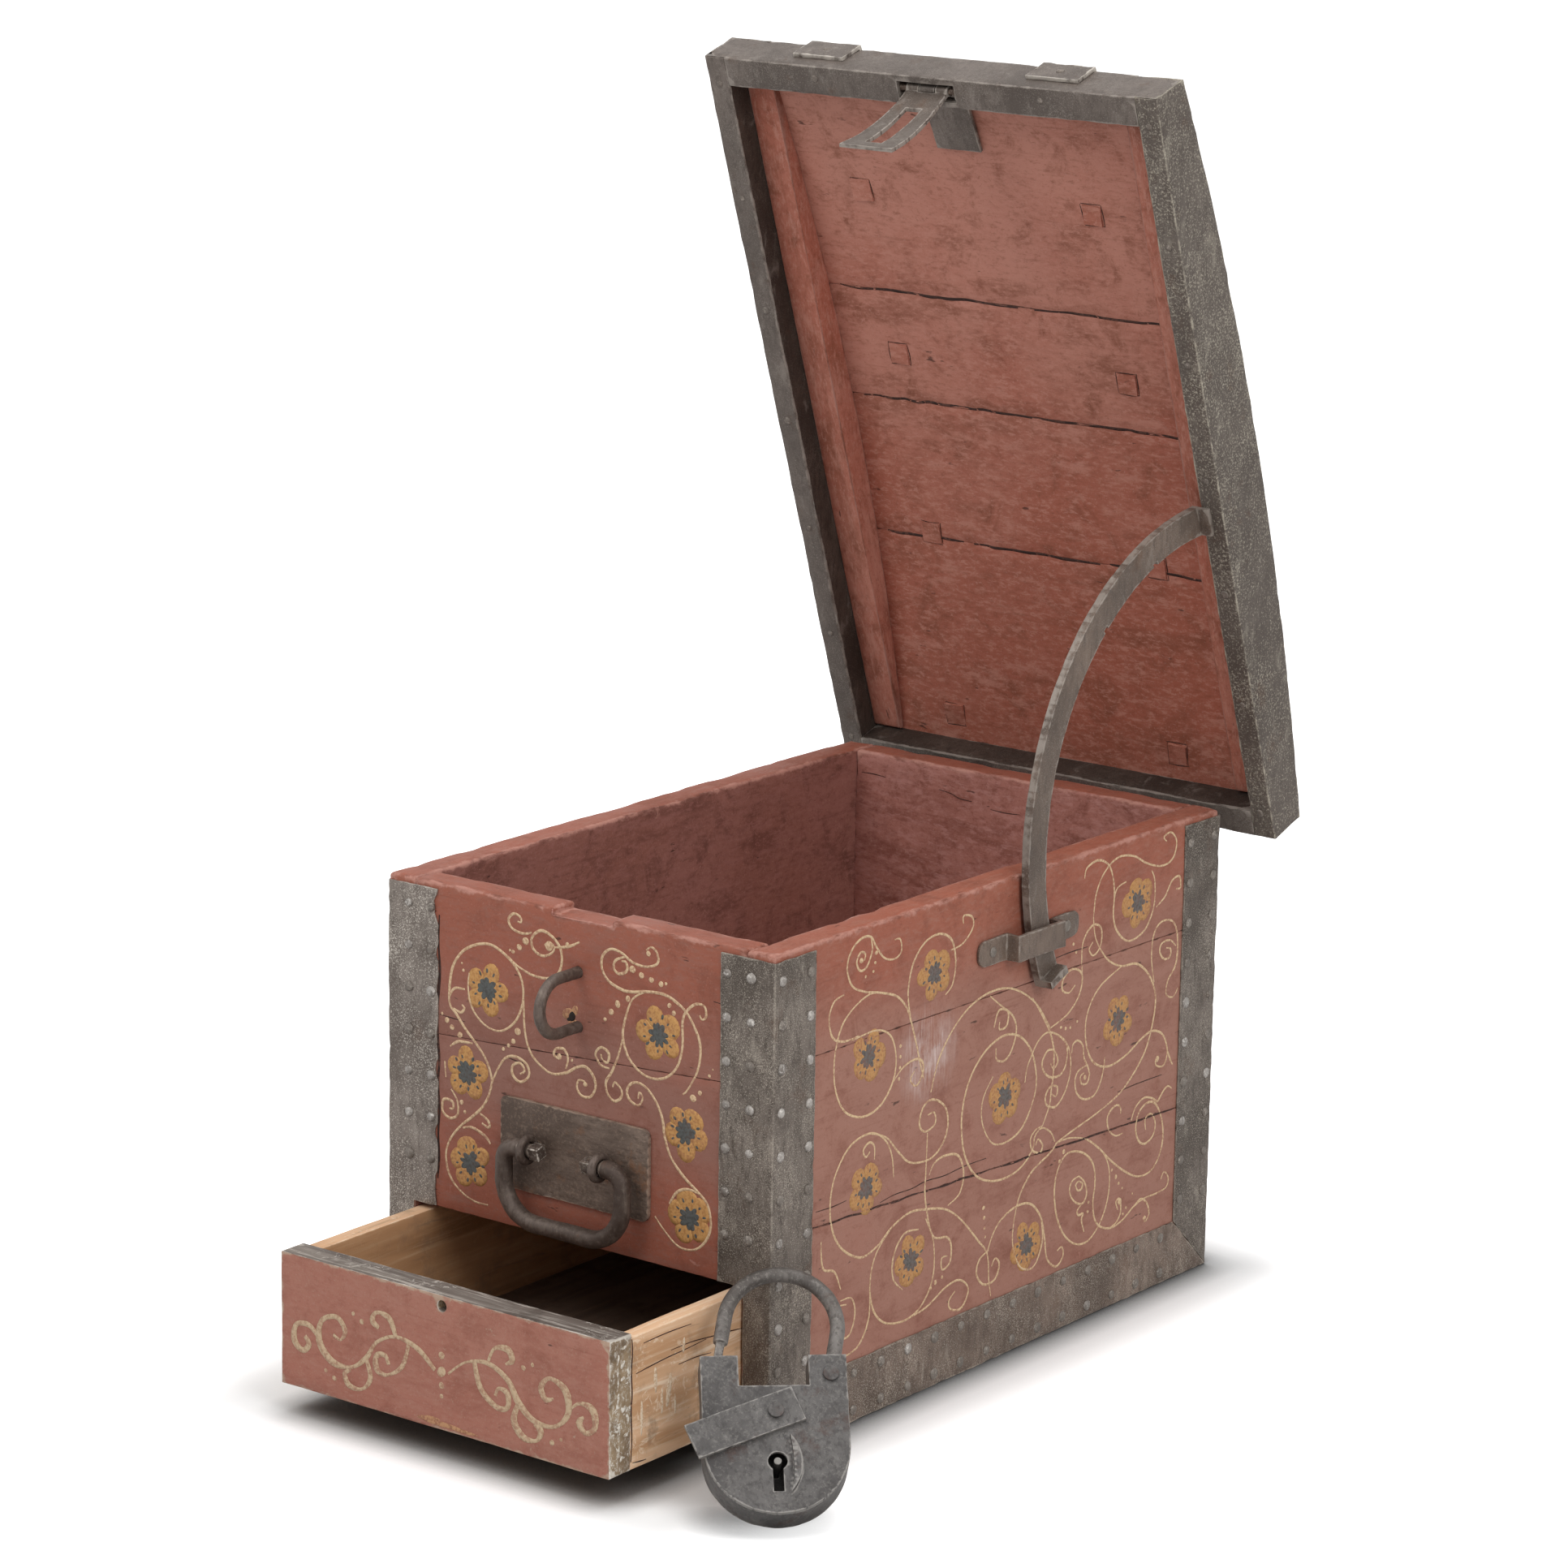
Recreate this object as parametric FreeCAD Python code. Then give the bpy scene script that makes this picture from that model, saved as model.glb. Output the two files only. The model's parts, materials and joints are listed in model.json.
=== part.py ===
import FreeCAD, Part
import math
import os

os.makedirs("parts", exist_ok=True)

# Money box: an iron-bound chest seen from its short drawer end. Millimetres.
# The origin is the centre of the underside, the drawer end faces -Y, +Z is up.

# How far cutting shapes run past the faces they cut
overrun = 1.0

# Two points nearer than this count as one
same_point = 1e-6

# Chest body
box_width = 350.0
box_depth = 553.0
box_height = 364.0
wall = 24.0
bottom_thickness = 21.0
floor_thickness = 16.0
drawer_opening_top = 121.0
plank_gap = 0.4
right_low_joint_front = 159.0
right_low_joint_back = 135.0
right_high_joint_front = 283.0
right_high_joint_back = 277.0
left_joint = 196.0
front_joint_left = 250.0
front_joint_right = 267.0
back_joint = 205.0
notch_width = 54.0
notch_depth = 5.0
notch_offset = 4.0

# Sheet irons on the chest
iron_thickness = 1.4
iron_leg = 46.0
iron_top_gap = 5.0
base_iron_height = 46.0
mitre_gap = 0.3
end_iron_inset = 1.0

# Nails
nail_head_radius = 3.4
nail_head_height = 1.5
nail_shank_radius = 1.2
nail_shank_length = 12.0
nail_pitch = 33.0
nail_first_height = 62.0
nail_top_margin = 14.0
end_leg_columns = (19.0, 40.0)
side_leg_columns = (7.0, 39.0)
base_iron_rows = (9.0, 37.0)
base_nail_margin = 64.0

# Lid
overhang = 30.0
rail_drop = 20.0
lid_end_height = 35.0
arch_rise = 21.0
lid_plank_thickness = 12.5
side_border = 19.0
front_border = 23.0
back_border = 22.0
edge_strip = 38.0
batten_width = 26.0
batten_end_gap = 1.0
lid_rest_gap = 0.3
lid_joints_from_back = (196.0, 315.0, 410.0)
lid_open_angle = 71.3

# Strap hinges
hinge_spread = 106.0
strap_width = 46.0
strap_thickness = 3.0
strap_hook_drop = 22.0
hinge_back_offset = 28.0
knuckle_radius = 6.0
knuckle_border_gap = 0.5
hinge_pin_radius = 3.0
hinge_fit = 0.05
knuckle_side_gap = 0.5
middle_knuckle = 18.0
leaf_width = 44.0
leaf_length = 140.0
pin_head_radius = 4.5
pin_head_height = 2.0

# Rivets that hold the straps, clenched over square roves
rivets_from_back = (43.0, 200.0, 355.0, 497.0)
rivet_head_radius = 6.0
rivet_head_height = 3.0
rivet_radius = 3.0
rove_side = 14.0
rove_thickness = 1.5

# Lid stay and its keeper on the right wall
stay_width = 22.0
stay_thickness = 6.3
stay_wall_gap = 0.4
stay_radius = 222.0
stay_centre_ahead = 54.4
stay_centre_below = 45.7
stay_tip_angle = 276.0
stay_tab_reach = 16.0
stay_tab_thickness = 3.0
stay_hook_reach = 9.0
stay_hook_thickness = 6.0
stay_notch_depth = 2.5
stay_notch_width = 5.0
stay_notch_angles = (16.0, 36.0)
keeper_height = 20.0
keeper_centre_z = 314.0
keeper_thickness = 3.0
keeper_bar_thickness = 4.0
keeper_foot = 34.0
keeper_play = 2.5
keeper_face_gap = 0.6

# Hasp on the lid and its hinge plate
hasp_edge_distance = 12.0
hasp_pivot_height = 5.0
hasp_knuckle_radius = 4.2
hasp_pin_radius = 2.5
hasp_thickness = 3.0
hasp_length = 86.0
hasp_root_width = 37.0
hasp_tip_width = 48.0
hasp_curve_radius = 167.0
hasp_lean_angle = 6.2
hasp_slot_width = 14.0
hasp_slot_top = 17.5
hasp_slot_length = 52.5
hasp_slot_room = 2.3
plate_width = 40.0
plate_thickness = 3.0
plate_knuckle = 14.0
plate_rise = 14.0
plate_end_from_front = 70.0
mortise_margin = 1.5

# Staple on the front
staple_rod = 3.8
staple_top = 321.0
staple_bottom = 281.0
staple_reach = 46.0
staple_tail = 4.0
staple_offset = 1.0

# Bail handle on the front
handle_height = 187.0
handle_plate_width = 136.0
handle_plate_top = 218.6
handle_plate_bottom = 150.5
handle_plate_thickness = 3.0
bail_rod = 6.5
bail_pivot_radius = 5.0
bail_span = 109.0
bail_drop = 54.0
bail_top_radius = 12.0
bail_bottom_radius = 30.0
bail_fit = 0.1
bail_tip_side = 9.0
bail_tip_length = 8.0
bail_tip_gap = 1.0
eye_spread = 33.0
eye_rod = 3.2
eye_plate_gap = 0.3
eye_rove_radius = 7.0
eye_rove_thickness = 2.5

# Drawer
drawer_out = 145.0
drawer_length = 515.0
drawer_front_thickness = 23.0
drawer_side_thickness = 13.0
drawer_bottom_thickness = 9.0
drawer_side_clearance = 0.8
drawer_run_gap = 0.3
drawer_top_gap = 1.3
drawer_side_step = 3.0
knob_hole_radius = 4.2
knob_hole_below_top = 7.7

# Padlock
lock_width = 100.0
lock_height = 116.5
lock_throat = 94.0
lock_ear = 26.0
lock_thickness = 26.0
lock_plate = 2.5
lock_right_of_corner = 90.1
lock_ahead_of_corner = 104.6
lock_turn = 42.0
lock_lean = 45.0
shackle_rod = 5.25
shackle_spread = 39.0
shackle_pivot_height = 102.0
shackle_shoulder = 117.0
shackle_arch_height = 137.5
shackle_open_angle = 11.0
shackle_boss_radius = 7.5
shackle_boss_length = 12.0
lock_pin_radius = 3.0
lock_pin_fit = 0.05
lock_rivet_head_radius = 5.5
lock_rivet_head_height = 2.0
tongue_side = 6.0
tongue_end = 79.0
tongue_notch_low = 83.0
tongue_notch_high = 90.5
tongue_notch_depth = 3.2
ear_slot_margin = 1.2
tongue_swing_room = 2.4
bolt_low = 84.0
bolt_high = 89.5
bolt_length = 38.0
bolt_thickness = 8.0
bolt_tip_gap = 3.0
bolt_guide_length = 25.0
bolt_guide_gap = 0.3
spring_leaf = 1.0
spring_width = 7.0
spring_gap = 0.3
spring_reach = 12.0
spring_drop = 14.0
keyhole_height = 38.0
keyhole_radius = 6.5
keyhole_slot_width = 7.0
keyhole_slot_bottom = 16.0
key_post_radius = 2.6
cover_rivet_height = 73.5
cover_rivet_radius = 2.5
cover_length = 79.0
cover_width = 26.0
cover_thickness = 3.0
cover_short_end = 17.0
cover_gap = 0.3
cover_drop_angle = 20.8
guard_offset = 8.5
guard_thickness = 6.0
guard_height = 6.0
guard_low = 14.0
guard_high = 56.0
guard_bow = 5.0

# Derived places
half_width = box_width / 2
half_depth = box_depth / 2
inner_half_width = half_width - wall
front_face = -half_depth
back_face = half_depth
iron_top = box_height - iron_top_gap
nail_stand = iron_thickness + nail_head_height

lid_half_length = half_depth + overhang
lid_half_width = half_width + overhang
border_z = box_height - rail_drop
lid_end_top = border_z + lid_end_height
arch_radius = (lid_half_length ** 2 + arch_rise ** 2) / (2 * arch_rise)
arch_centre_z = lid_end_top + arch_rise - arch_radius
rail_inner = lid_half_width - side_border

hinge_y = back_face + hinge_back_offset
hinge_z = border_z - knuckle_radius - knuckle_border_gap

stay_inner_x = half_width + nail_stand + stay_wall_gap
stay_outer_x = stay_inner_x + stay_thickness
stay_centre_y = hinge_y - stay_centre_ahead
stay_centre_z = hinge_z - stay_centre_below

hasp_y = -lid_half_length + hasp_edge_distance
hasp_z = border_z + hasp_pivot_height

bail_y = front_face - handle_plate_thickness - eye_plate_gap - bail_pivot_radius - bail_fit - 2 * eye_rod

drawer_half_width = inner_half_width - drawer_side_clearance
drawer_low = bottom_thickness + drawer_run_gap
drawer_high = drawer_opening_top - drawer_top_gap
drawer_front_y = front_face - drawer_out
drawer_back_y = drawer_front_y + drawer_length

lock_x = half_width + iron_thickness + lock_right_of_corner
lock_y = front_face - iron_thickness - lock_ahead_of_corner


def vec(x, y, z):
    return FreeCAD.Vector(x, y, z)


def block(x0, x1, y0, y1, z0, z1):
    return Part.makeBox(x1 - x0, y1 - y0, z1 - z0, vec(x0, y0, z0))


def outline_face(corners):
    return Part.Face(Part.makePolygon(corners + corners[:1]))


def prism_x(points, x0, x1):
    face = outline_face([vec(x0, y, z) for y, z in points])
    return face.extrude(vec(x1 - x0, 0, 0))


def prism_y(points, y0, y1):
    face = outline_face([vec(x, y0, z) for x, z in points])
    return face.extrude(vec(0, y1 - y0, 0))


def cylinder(radius, start, end):
    axis = end - start
    return Part.makeCylinder(radius, axis.Length, start, axis)


def join(shapes):
    return shapes[0].multiFuse(shapes[1:]).removeSplitter()


def mirrored(shape):
    return shape.mirror(vec(0, 0, 0), vec(1, 0, 0))


def rounded_path(points, radii):
    # Straight runs with a tangent arc at each inner corner
    edges = []
    start = points[0]
    for before, corner, after, radius in zip(points, points[1:], points[2:], radii):
        back = (before - corner).normalize()
        ahead = (after - corner).normalize()
        half_angle = back.getAngle(ahead) / 2
        cut = radius / math.tan(half_angle)
        bisector = (back + ahead).normalize()
        centre = corner + bisector * (radius / math.sin(half_angle))
        first = corner + back * cut
        last = corner + ahead * cut
        if (first - start).Length > same_point:
            edges.append(Part.LineSegment(start, first).toShape())
        edges.append(Part.Arc(first, centre - bisector * radius, last).toShape())
        start = last
    if (points[-1] - start).Length > same_point:
        edges.append(Part.LineSegment(start, points[-1]).toShape())
    return edges


def rod_along(edges, radius):
    first = edges[0]
    start = first.valueAt(first.FirstParameter)
    tangent = first.tangentAt(first.FirstParameter)
    profile = Part.Wire(Part.makeCircle(radius, start, tangent))
    return Part.Wire(edges).makePipeShell([profile], True, False)


def strip_outline(points, thickness):
    # Both sides of a bent flat strip, mitred at its corners
    sides = []
    for sign in (1, -1):
        side = []
        for index, point in enumerate(points):
            runs = []
            if index > 0:
                runs.append((points[index - 1], point))
            if index < len(points) - 1:
                runs.append((point, points[index + 1]))
            normals = []
            for (a0, b0), (a1, b1) in runs:
                length = math.hypot(a1 - a0, b1 - b0)
                normals.append((-(b1 - b0) / length, (a1 - a0) / length))
            na = sum(n[0] for n in normals)
            nb = sum(n[1] for n in normals)
            size = math.hypot(na, nb)
            na, nb = na / size, nb / size
            reach = thickness / 2 / (na * normals[0][0] + nb * normals[0][1])
            side.append((point[0] + sign * na * reach, point[1] + sign * nb * reach))
        sides.append(side)
    return sides[0] + sides[1][::-1]


def save(name, shape):
    shape.exportStep("parts/%s.step" % name)


def arch_height(y, lift):
    return arch_centre_z + math.sqrt((arch_radius + lift) ** 2 - y ** 2)


def arch_edge(y0, y1, lift, x):
    middle = (y0 + y1) / 2
    points = [vec(x, y, arch_height(y, lift)) for y in (y0, middle, y1)]
    return Part.Arc(*points).toShape()


def arch_band(y0, y1, low, high, x0, x1):
    # A curved sheet of the lid's arch between two lifts above its planks' top
    edges = [
        arch_edge(y0, y1, low, x0),
        Part.makeLine(vec(x0, y1, arch_height(y1, low)), vec(x0, y1, arch_height(y1, high))),
        arch_edge(y1, y0, high, x0),
        Part.makeLine(vec(x0, y0, arch_height(y0, high)), vec(x0, y0, arch_height(y0, low))),
    ]
    return Part.Face(Part.Wire(edges)).extrude(vec(x1 - x0, 0, 0))


def arch_slab(y0, y1, z_low, lift, x0, x1):
    # A board with a flat lower edge and an upper edge that follows the arch
    edges = [
        Part.makeLine(vec(x0, y0, z_low), vec(x0, y1, z_low)),
        Part.makeLine(vec(x0, y1, z_low), vec(x0, y1, arch_height(y1, lift))),
        arch_edge(y1, y0, lift, x0),
        Part.makeLine(vec(x0, y0, arch_height(y0, lift)), vec(x0, y0, z_low)),
    ]
    return Part.Face(Part.Wire(edges)).extrude(vec(x1 - x0, 0, 0))


def opened(shape):
    # From the closed lid to the propped-open rest position
    turned = shape.copy()
    turned.rotate(vec(0, hinge_y, hinge_z), vec(-1, 0, 0), lid_open_angle)
    return turned


def save_lid(name, shape):
    save(name, opened(shape))


def nail():
    # A clout nail, point down along -Z, underside of the head at the origin
    crown = vec(0, 0, nail_head_height)
    rim = vec(nail_head_radius, 0, 0)
    ball = (nail_head_radius ** 2 + nail_head_height ** 2) / (2 * nail_head_height)
    angle = math.asin(nail_head_radius / ball) / 2
    shoulder = vec(ball * math.sin(angle), 0, nail_head_height - ball + ball * math.cos(angle))
    edges = [
        Part.Arc(crown, shoulder, rim).toShape(),
        Part.makeLine(rim, vec(nail_shank_radius, 0, 0)),
        Part.makeLine(vec(nail_shank_radius, 0, 0), vec(nail_shank_radius, 0, -nail_shank_length)),
        Part.makeLine(vec(nail_shank_radius, 0, -nail_shank_length), vec(0, 0, -nail_shank_length)),
        Part.makeLine(vec(0, 0, -nail_shank_length), crown),
    ]
    return Part.Face(Part.Wire(edges)).revolve(vec(0, 0, 0), vec(0, 0, 1), 360)


nail_shape = nail()


def nail_at(place, outward):
    copy = nail_shape.copy()
    copy.Placement = FreeCAD.Placement(place, FreeCAD.Rotation(vec(0, 0, 1), outward))
    return copy


def spaced(first, last):
    # Even places from first to last, close to the nail pitch
    count = max(2, int(round((last - first) / nail_pitch)) + 1)
    return [first + (last - first) * index / (count - 1) for index in range(count)]


# Side walls, three planks on the right and two on the left
def side_plank(x0, x1, low_front, low_back, high_front, high_back):
    points = [
        (front_face, low_front), (back_face, low_back),
        (back_face, high_back), (front_face, high_front)]
    return prism_x(points, x0, x1)


save("right_plank_bottom", side_plank(
    inner_half_width, half_width, 0, 0,
    right_low_joint_front - plank_gap, right_low_joint_back - plank_gap))
save("right_plank_middle", side_plank(
    inner_half_width, half_width, right_low_joint_front, right_low_joint_back,
    right_high_joint_front - plank_gap, right_high_joint_back - plank_gap))
save("right_plank_top", side_plank(
    inner_half_width, half_width, right_high_joint_front, right_high_joint_back, box_height, box_height))
save("left_plank_bottom", side_plank(
    -half_width, -inner_half_width, 0, 0, left_joint - plank_gap, left_joint - plank_gap))
save("left_plank_top", side_plank(
    -half_width, -inner_half_width, left_joint, left_joint, box_height, box_height))

# End walls between the side walls; the front one stops above the drawer
front_inner = front_face + wall
front_low = [
    (-inner_half_width, drawer_opening_top), (inner_half_width, drawer_opening_top),
    (inner_half_width, front_joint_right - plank_gap), (-inner_half_width, front_joint_left - plank_gap)]
front_high = [
    (-inner_half_width, front_joint_left), (inner_half_width, front_joint_right),
    (inner_half_width, box_height), (-inner_half_width, box_height)]
eye_shank_end = front_inner + eye_rove_thickness
eye_places = [-eye_spread, eye_spread]
eye_shanks = [
    cylinder(eye_rod, vec(x, bail_y, handle_height), vec(x, eye_shank_end, handle_height))
    for x in eye_places]
staple_heights = (staple_top, staple_bottom)
staple_holes = [
    cylinder(
        staple_rod, vec(staple_offset, front_face - overrun, z),
        vec(staple_offset, front_inner + overrun, z))
    for z in staple_heights]
notch = block(
    notch_offset - notch_width / 2, notch_offset + notch_width / 2,
    front_face - overrun, front_inner + overrun, box_height - notch_depth, box_height + overrun)
save("front_plank_bottom", prism_y(front_low, front_face, front_inner).cut(eye_shanks + staple_holes))
save("front_plank_top", prism_y(front_high, front_face, front_inner).cut(staple_holes + [notch]))
back_inner = back_face - wall
save("back_plank_bottom", block(
    -inner_half_width, inner_half_width, back_inner, back_face, 0, back_joint - plank_gap))
save("back_plank_top", block(
    -inner_half_width, inner_half_width, back_inner, back_face, back_joint, box_height))

# Bottom board under the drawer, and the money compartment's floor over it
save("bottom_board", block(
    -inner_half_width, inner_half_width, front_face, back_inner, 0, bottom_thickness))
save("compartment_floor", block(
    -inner_half_width, inner_half_width, front_inner, back_inner,
    drawer_opening_top, drawer_opening_top + floor_thickness))


# Sheet irons: four corner angles and three base bands with mitred ends
def side_leg(end):
    # end is -1 at the front corner and 1 at the back corner
    outer = end * (half_depth + iron_thickness)
    inner = end * (half_depth - iron_leg)
    points = [(outer, 0), (outer, iron_top), (inner, iron_top), (inner, base_iron_height)]
    return prism_x(points, half_width, half_width + iron_thickness)


end_leg_inner = half_width - iron_leg
front_leg_low = inner_half_width + end_iron_inset
front_leg = join([
    block(end_leg_inner, half_width, front_face - iron_thickness, front_face, drawer_opening_top, iron_top),
    block(front_leg_low, half_width, front_face - iron_thickness, front_face, 0, drawer_opening_top)])
back_leg = prism_y(
    [(half_width, 0), (half_width, iron_top), (end_leg_inner, iron_top), (end_leg_inner, base_iron_height)],
    back_face, back_face + iron_thickness)
front_angle = join([side_leg(-1), front_leg])
back_angle = join([side_leg(1), back_leg])
save("corner_iron_front_right", front_angle)
save("corner_iron_front_left", mirrored(front_angle))
save("corner_iron_back_right", back_angle)
save("corner_iron_back_left", mirrored(back_angle))

side_band_end = half_depth + iron_thickness - mitre_gap
side_band_top = half_depth - iron_leg - mitre_gap
side_band = prism_x(
    [(-side_band_end, 0), (side_band_end, 0),
     (side_band_top, base_iron_height), (-side_band_top, base_iron_height)],
    half_width, half_width + iron_thickness)
save("base_iron_right", side_band)
save("base_iron_left", mirrored(side_band))
back_band_end = half_width - mitre_gap
back_band_top = end_leg_inner - mitre_gap
save("base_iron_back", prism_y(
    [(-back_band_end, 0), (back_band_end, 0),
     (back_band_top, base_iron_height), (-back_band_top, base_iron_height)],
    back_face, back_face + iron_thickness))

# Nails in the irons, the handle plate, the keeper and the hinge leaves
nails = []
nail_heights = spaced(nail_first_height, iron_top - nail_top_margin)
front_heights = [z for z in nail_heights if z > drawer_opening_top + nail_head_radius * 2]
for side in (-1, 1):
    outward = vec(side, 0, 0)
    face_x = side * (half_width + iron_thickness)
    for end in (-1, 1):
        for column in side_leg_columns:
            nails += [nail_at(vec(face_x, end * (half_depth - column), z), outward) for z in nail_heights]
        end_outward = vec(0, end, 0)
        face_y = end * (half_depth + iron_thickness)
        for column in end_leg_columns:
            heights = front_heights if end < 0 else nail_heights
            nails += [nail_at(vec(side * (half_width - column), face_y, z), end_outward) for z in heights]
    base_places = spaced(-half_depth + base_nail_margin, half_depth - base_nail_margin)
    for row in base_iron_rows:
        nails += [nail_at(vec(face_x, y, row), outward) for y in base_places]
for row in base_iron_rows:
    for x in spaced(-half_width + base_nail_margin, half_width - base_nail_margin):
        nails.append(nail_at(vec(x, back_face + iron_thickness, row), vec(0, 1, 0)))


# Lid, drawn closed and then turned open
def lid_y(from_back):
    return lid_half_length - from_back


lid_front_y = -lid_half_length
plank_edges = [lid_half_length - iron_thickness]
plank_edges += [lid_y(distance) for distance in lid_joints_from_back]
plank_edges.append(lid_front_y + iron_thickness)
plank_half_width = lid_half_width - iron_thickness
for index, (back_edge, front_edge) in enumerate(zip(plank_edges, plank_edges[1:])):
    open_joint = plank_gap if index < len(plank_edges) - 2 else 0
    plank = arch_band(
        front_edge + open_joint, back_edge, -lid_plank_thickness, 0, -plank_half_width, plank_half_width)
    save_lid("lid_plank_%d" % (index + 1), plank)

rail_low = border_z + iron_thickness
side_rail = arch_slab(
    lid_front_y + iron_thickness, lid_half_length - iron_thickness, rail_low,
    -lid_plank_thickness, rail_inner, plank_half_width)
save_lid("lid_rail_right", side_rail)
save_lid("lid_rail_left", mirrored(side_rail))

# The front rail is mortised for the hasp's hinge, open below and towards the inside
front_rail_inner = lid_front_y + front_border
slot_half = hasp_tip_width / 2 + mortise_margin
slot_front = hasp_y - hasp_knuckle_radius - hasp_slot_room
slot_back = hasp_y + hasp_knuckle_radius + hasp_slot_room
mortise_top = hasp_z + plate_rise + plate_thickness + mortise_margin
mortise = join([
    block(-slot_half, slot_half, slot_front, slot_back, border_z - overrun, mortise_top),
    block(
        -slot_half, slot_half, slot_front, front_rail_inner + overrun,
        hasp_z + hasp_knuckle_radius, mortise_top)])
front_rail = arch_slab(
    lid_front_y + iron_thickness, front_rail_inner, rail_low, -lid_plank_thickness, -rail_inner, rail_inner)
save_lid("lid_rail_front", front_rail.cut(mortise))
save_lid("lid_rail_back", arch_slab(
    lid_half_length - back_border, lid_half_length - iron_thickness, rail_low,
    -lid_plank_thickness, -rail_inner, rail_inner))

batten_low = box_height + lid_rest_gap
batten = arch_slab(
    front_rail_inner + batten_end_gap, lid_half_length - back_border - batten_end_gap, batten_low,
    -lid_plank_thickness, rail_inner - batten_width, rail_inner)
save_lid("lid_batten_right", batten)
save_lid("lid_batten_left", mirrored(batten))

# Sheet iron that wraps the lid's sides, its underside border and its top edges
side_wrap = join([
    arch_slab(lid_front_y, lid_half_length, border_z, 0, plank_half_width, lid_half_width),
    block(rail_inner, lid_half_width, lid_front_y, lid_half_length, border_z, rail_low),
    arch_band(
        lid_front_y, lid_half_length, 0, iron_thickness, lid_half_width - edge_strip, lid_half_width)])
save_lid("lid_wrap_right", side_wrap)
save_lid("lid_wrap_left", mirrored(side_wrap))

strip_outer = lid_half_width - edge_strip
strap_room = strap_width / 2 + mitre_gap
strip_spans = [
    (-strip_outer, -hinge_spread - strap_room),
    (-hinge_spread + strap_room, hinge_spread - strap_room),
    (hinge_spread + strap_room, strip_outer)]


def end_wrap(y_outer, y_plate, y_border, y_strip):
    # Plate over the end face, border below it and strips on top between the straps
    plate_low, plate_high = sorted((y_outer, y_plate))
    border_low, border_high = sorted((y_outer, y_border))
    strip_low, strip_high = sorted((y_outer, y_strip))
    pieces = [
        arch_slab(plate_low, plate_high, rail_low, 0, -plank_half_width, plank_half_width),
        block(-rail_inner, rail_inner, border_low, border_high, border_z, rail_low)]
    for x0, x1 in strip_spans:
        pieces.append(arch_band(strip_low, strip_high, 0, iron_thickness, x0, x1))
    return join(pieces)


front_wrap = end_wrap(
    lid_front_y, lid_front_y + iron_thickness, front_rail_inner, lid_front_y + edge_strip)
save_lid("lid_wrap_front", front_wrap.cut(mortise))
save_lid("lid_wrap_back", end_wrap(
    lid_half_length, lid_half_length - iron_thickness, lid_half_length - back_border,
    lid_half_length - edge_strip))


# Strap hinges: a long strap over the lid, a cranked leaf on the back, a pin each
def hinge_bore(x0, x1):
    return cylinder(hinge_pin_radius + hinge_fit, vec(x0, hinge_y, hinge_z), vec(x1, hinge_y, hinge_z))


def knuckle(x0, x1):
    return cylinder(knuckle_radius, vec(x0, hinge_y, hinge_z), vec(x1, hinge_y, hinge_z))


def lid_strap(centre):
    x0 = centre - strap_width / 2
    x1 = centre + strap_width / 2
    tongue0 = centre - middle_knuckle / 2
    tongue1 = centre + middle_knuckle / 2
    drop_low = border_z + knuckle_border_gap
    back_out = lid_half_length + strap_thickness
    pieces = [
        arch_band(lid_front_y, lid_half_length, 0, strap_thickness, x0, x1),
        arch_slab(
            lid_front_y - strap_thickness, lid_front_y, lid_end_top - strap_hook_drop,
            strap_thickness, x0, x1),
        arch_slab(lid_half_length, back_out, drop_low, strap_thickness, x0, x1),
        block(tongue0, tongue1, lid_half_length, back_out, hinge_z, drop_low),
        knuckle(tongue0, tongue1)]
    return join(pieces).cut(hinge_bore(x0, x1))


def hinge_leaf(centre):
    x0 = centre - leaf_width / 2
    x1 = centre + leaf_width / 2
    gap0 = centre - middle_knuckle / 2 - knuckle_side_gap
    gap1 = centre + middle_knuckle / 2 + knuckle_side_gap
    crank_low = hinge_z - strap_thickness / 2
    crank_high = hinge_z + strap_thickness / 2
    room = knuckle_radius + knuckle_side_gap
    pieces = [
        block(x0, x1, back_face, back_face + strap_thickness, crank_high - leaf_length, crank_high),
        block(x0, x1, back_face, hinge_y, crank_low, crank_high),
        knuckle(x0, x1)]
    middle_room = cylinder(room, vec(gap0, hinge_y, hinge_z), vec(gap1, hinge_y, hinge_z))
    return join(pieces).cut([middle_room, hinge_bore(x0, x1)])


def hinge_pin(centre):
    x0 = centre - leaf_width / 2
    x1 = centre + leaf_width / 2
    heads = [
        cylinder(pin_head_radius, vec(x0 - pin_head_height, hinge_y, hinge_z), vec(x0, hinge_y, hinge_z)),
        cylinder(pin_head_radius, vec(x1, hinge_y, hinge_z), vec(x1 + pin_head_height, hinge_y, hinge_z))]
    shaft = cylinder(hinge_pin_radius, vec(x0, hinge_y, hinge_z), vec(x1, hinge_y, hinge_z))
    return join([shaft] + heads)


save_lid("lid_strap_left", lid_strap(-hinge_spread))
save_lid("lid_strap_right", lid_strap(hinge_spread))
save("hinge_leaf_left", hinge_leaf(-hinge_spread))
save("hinge_leaf_right", hinge_leaf(hinge_spread))
save("hinge_pins", Part.makeCompound([hinge_pin(-hinge_spread), hinge_pin(hinge_spread)]))
leaf_nail_face = back_face + strap_thickness
leaf_low = hinge_z + strap_thickness / 2 - leaf_length
for side in (-1, 1):
    for z in spaced(leaf_low + nail_top_margin, hinge_z - nail_pitch):
        nails.append(nail_at(vec(side * hinge_spread, leaf_nail_face, z), vec(0, 1, 0)))


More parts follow.
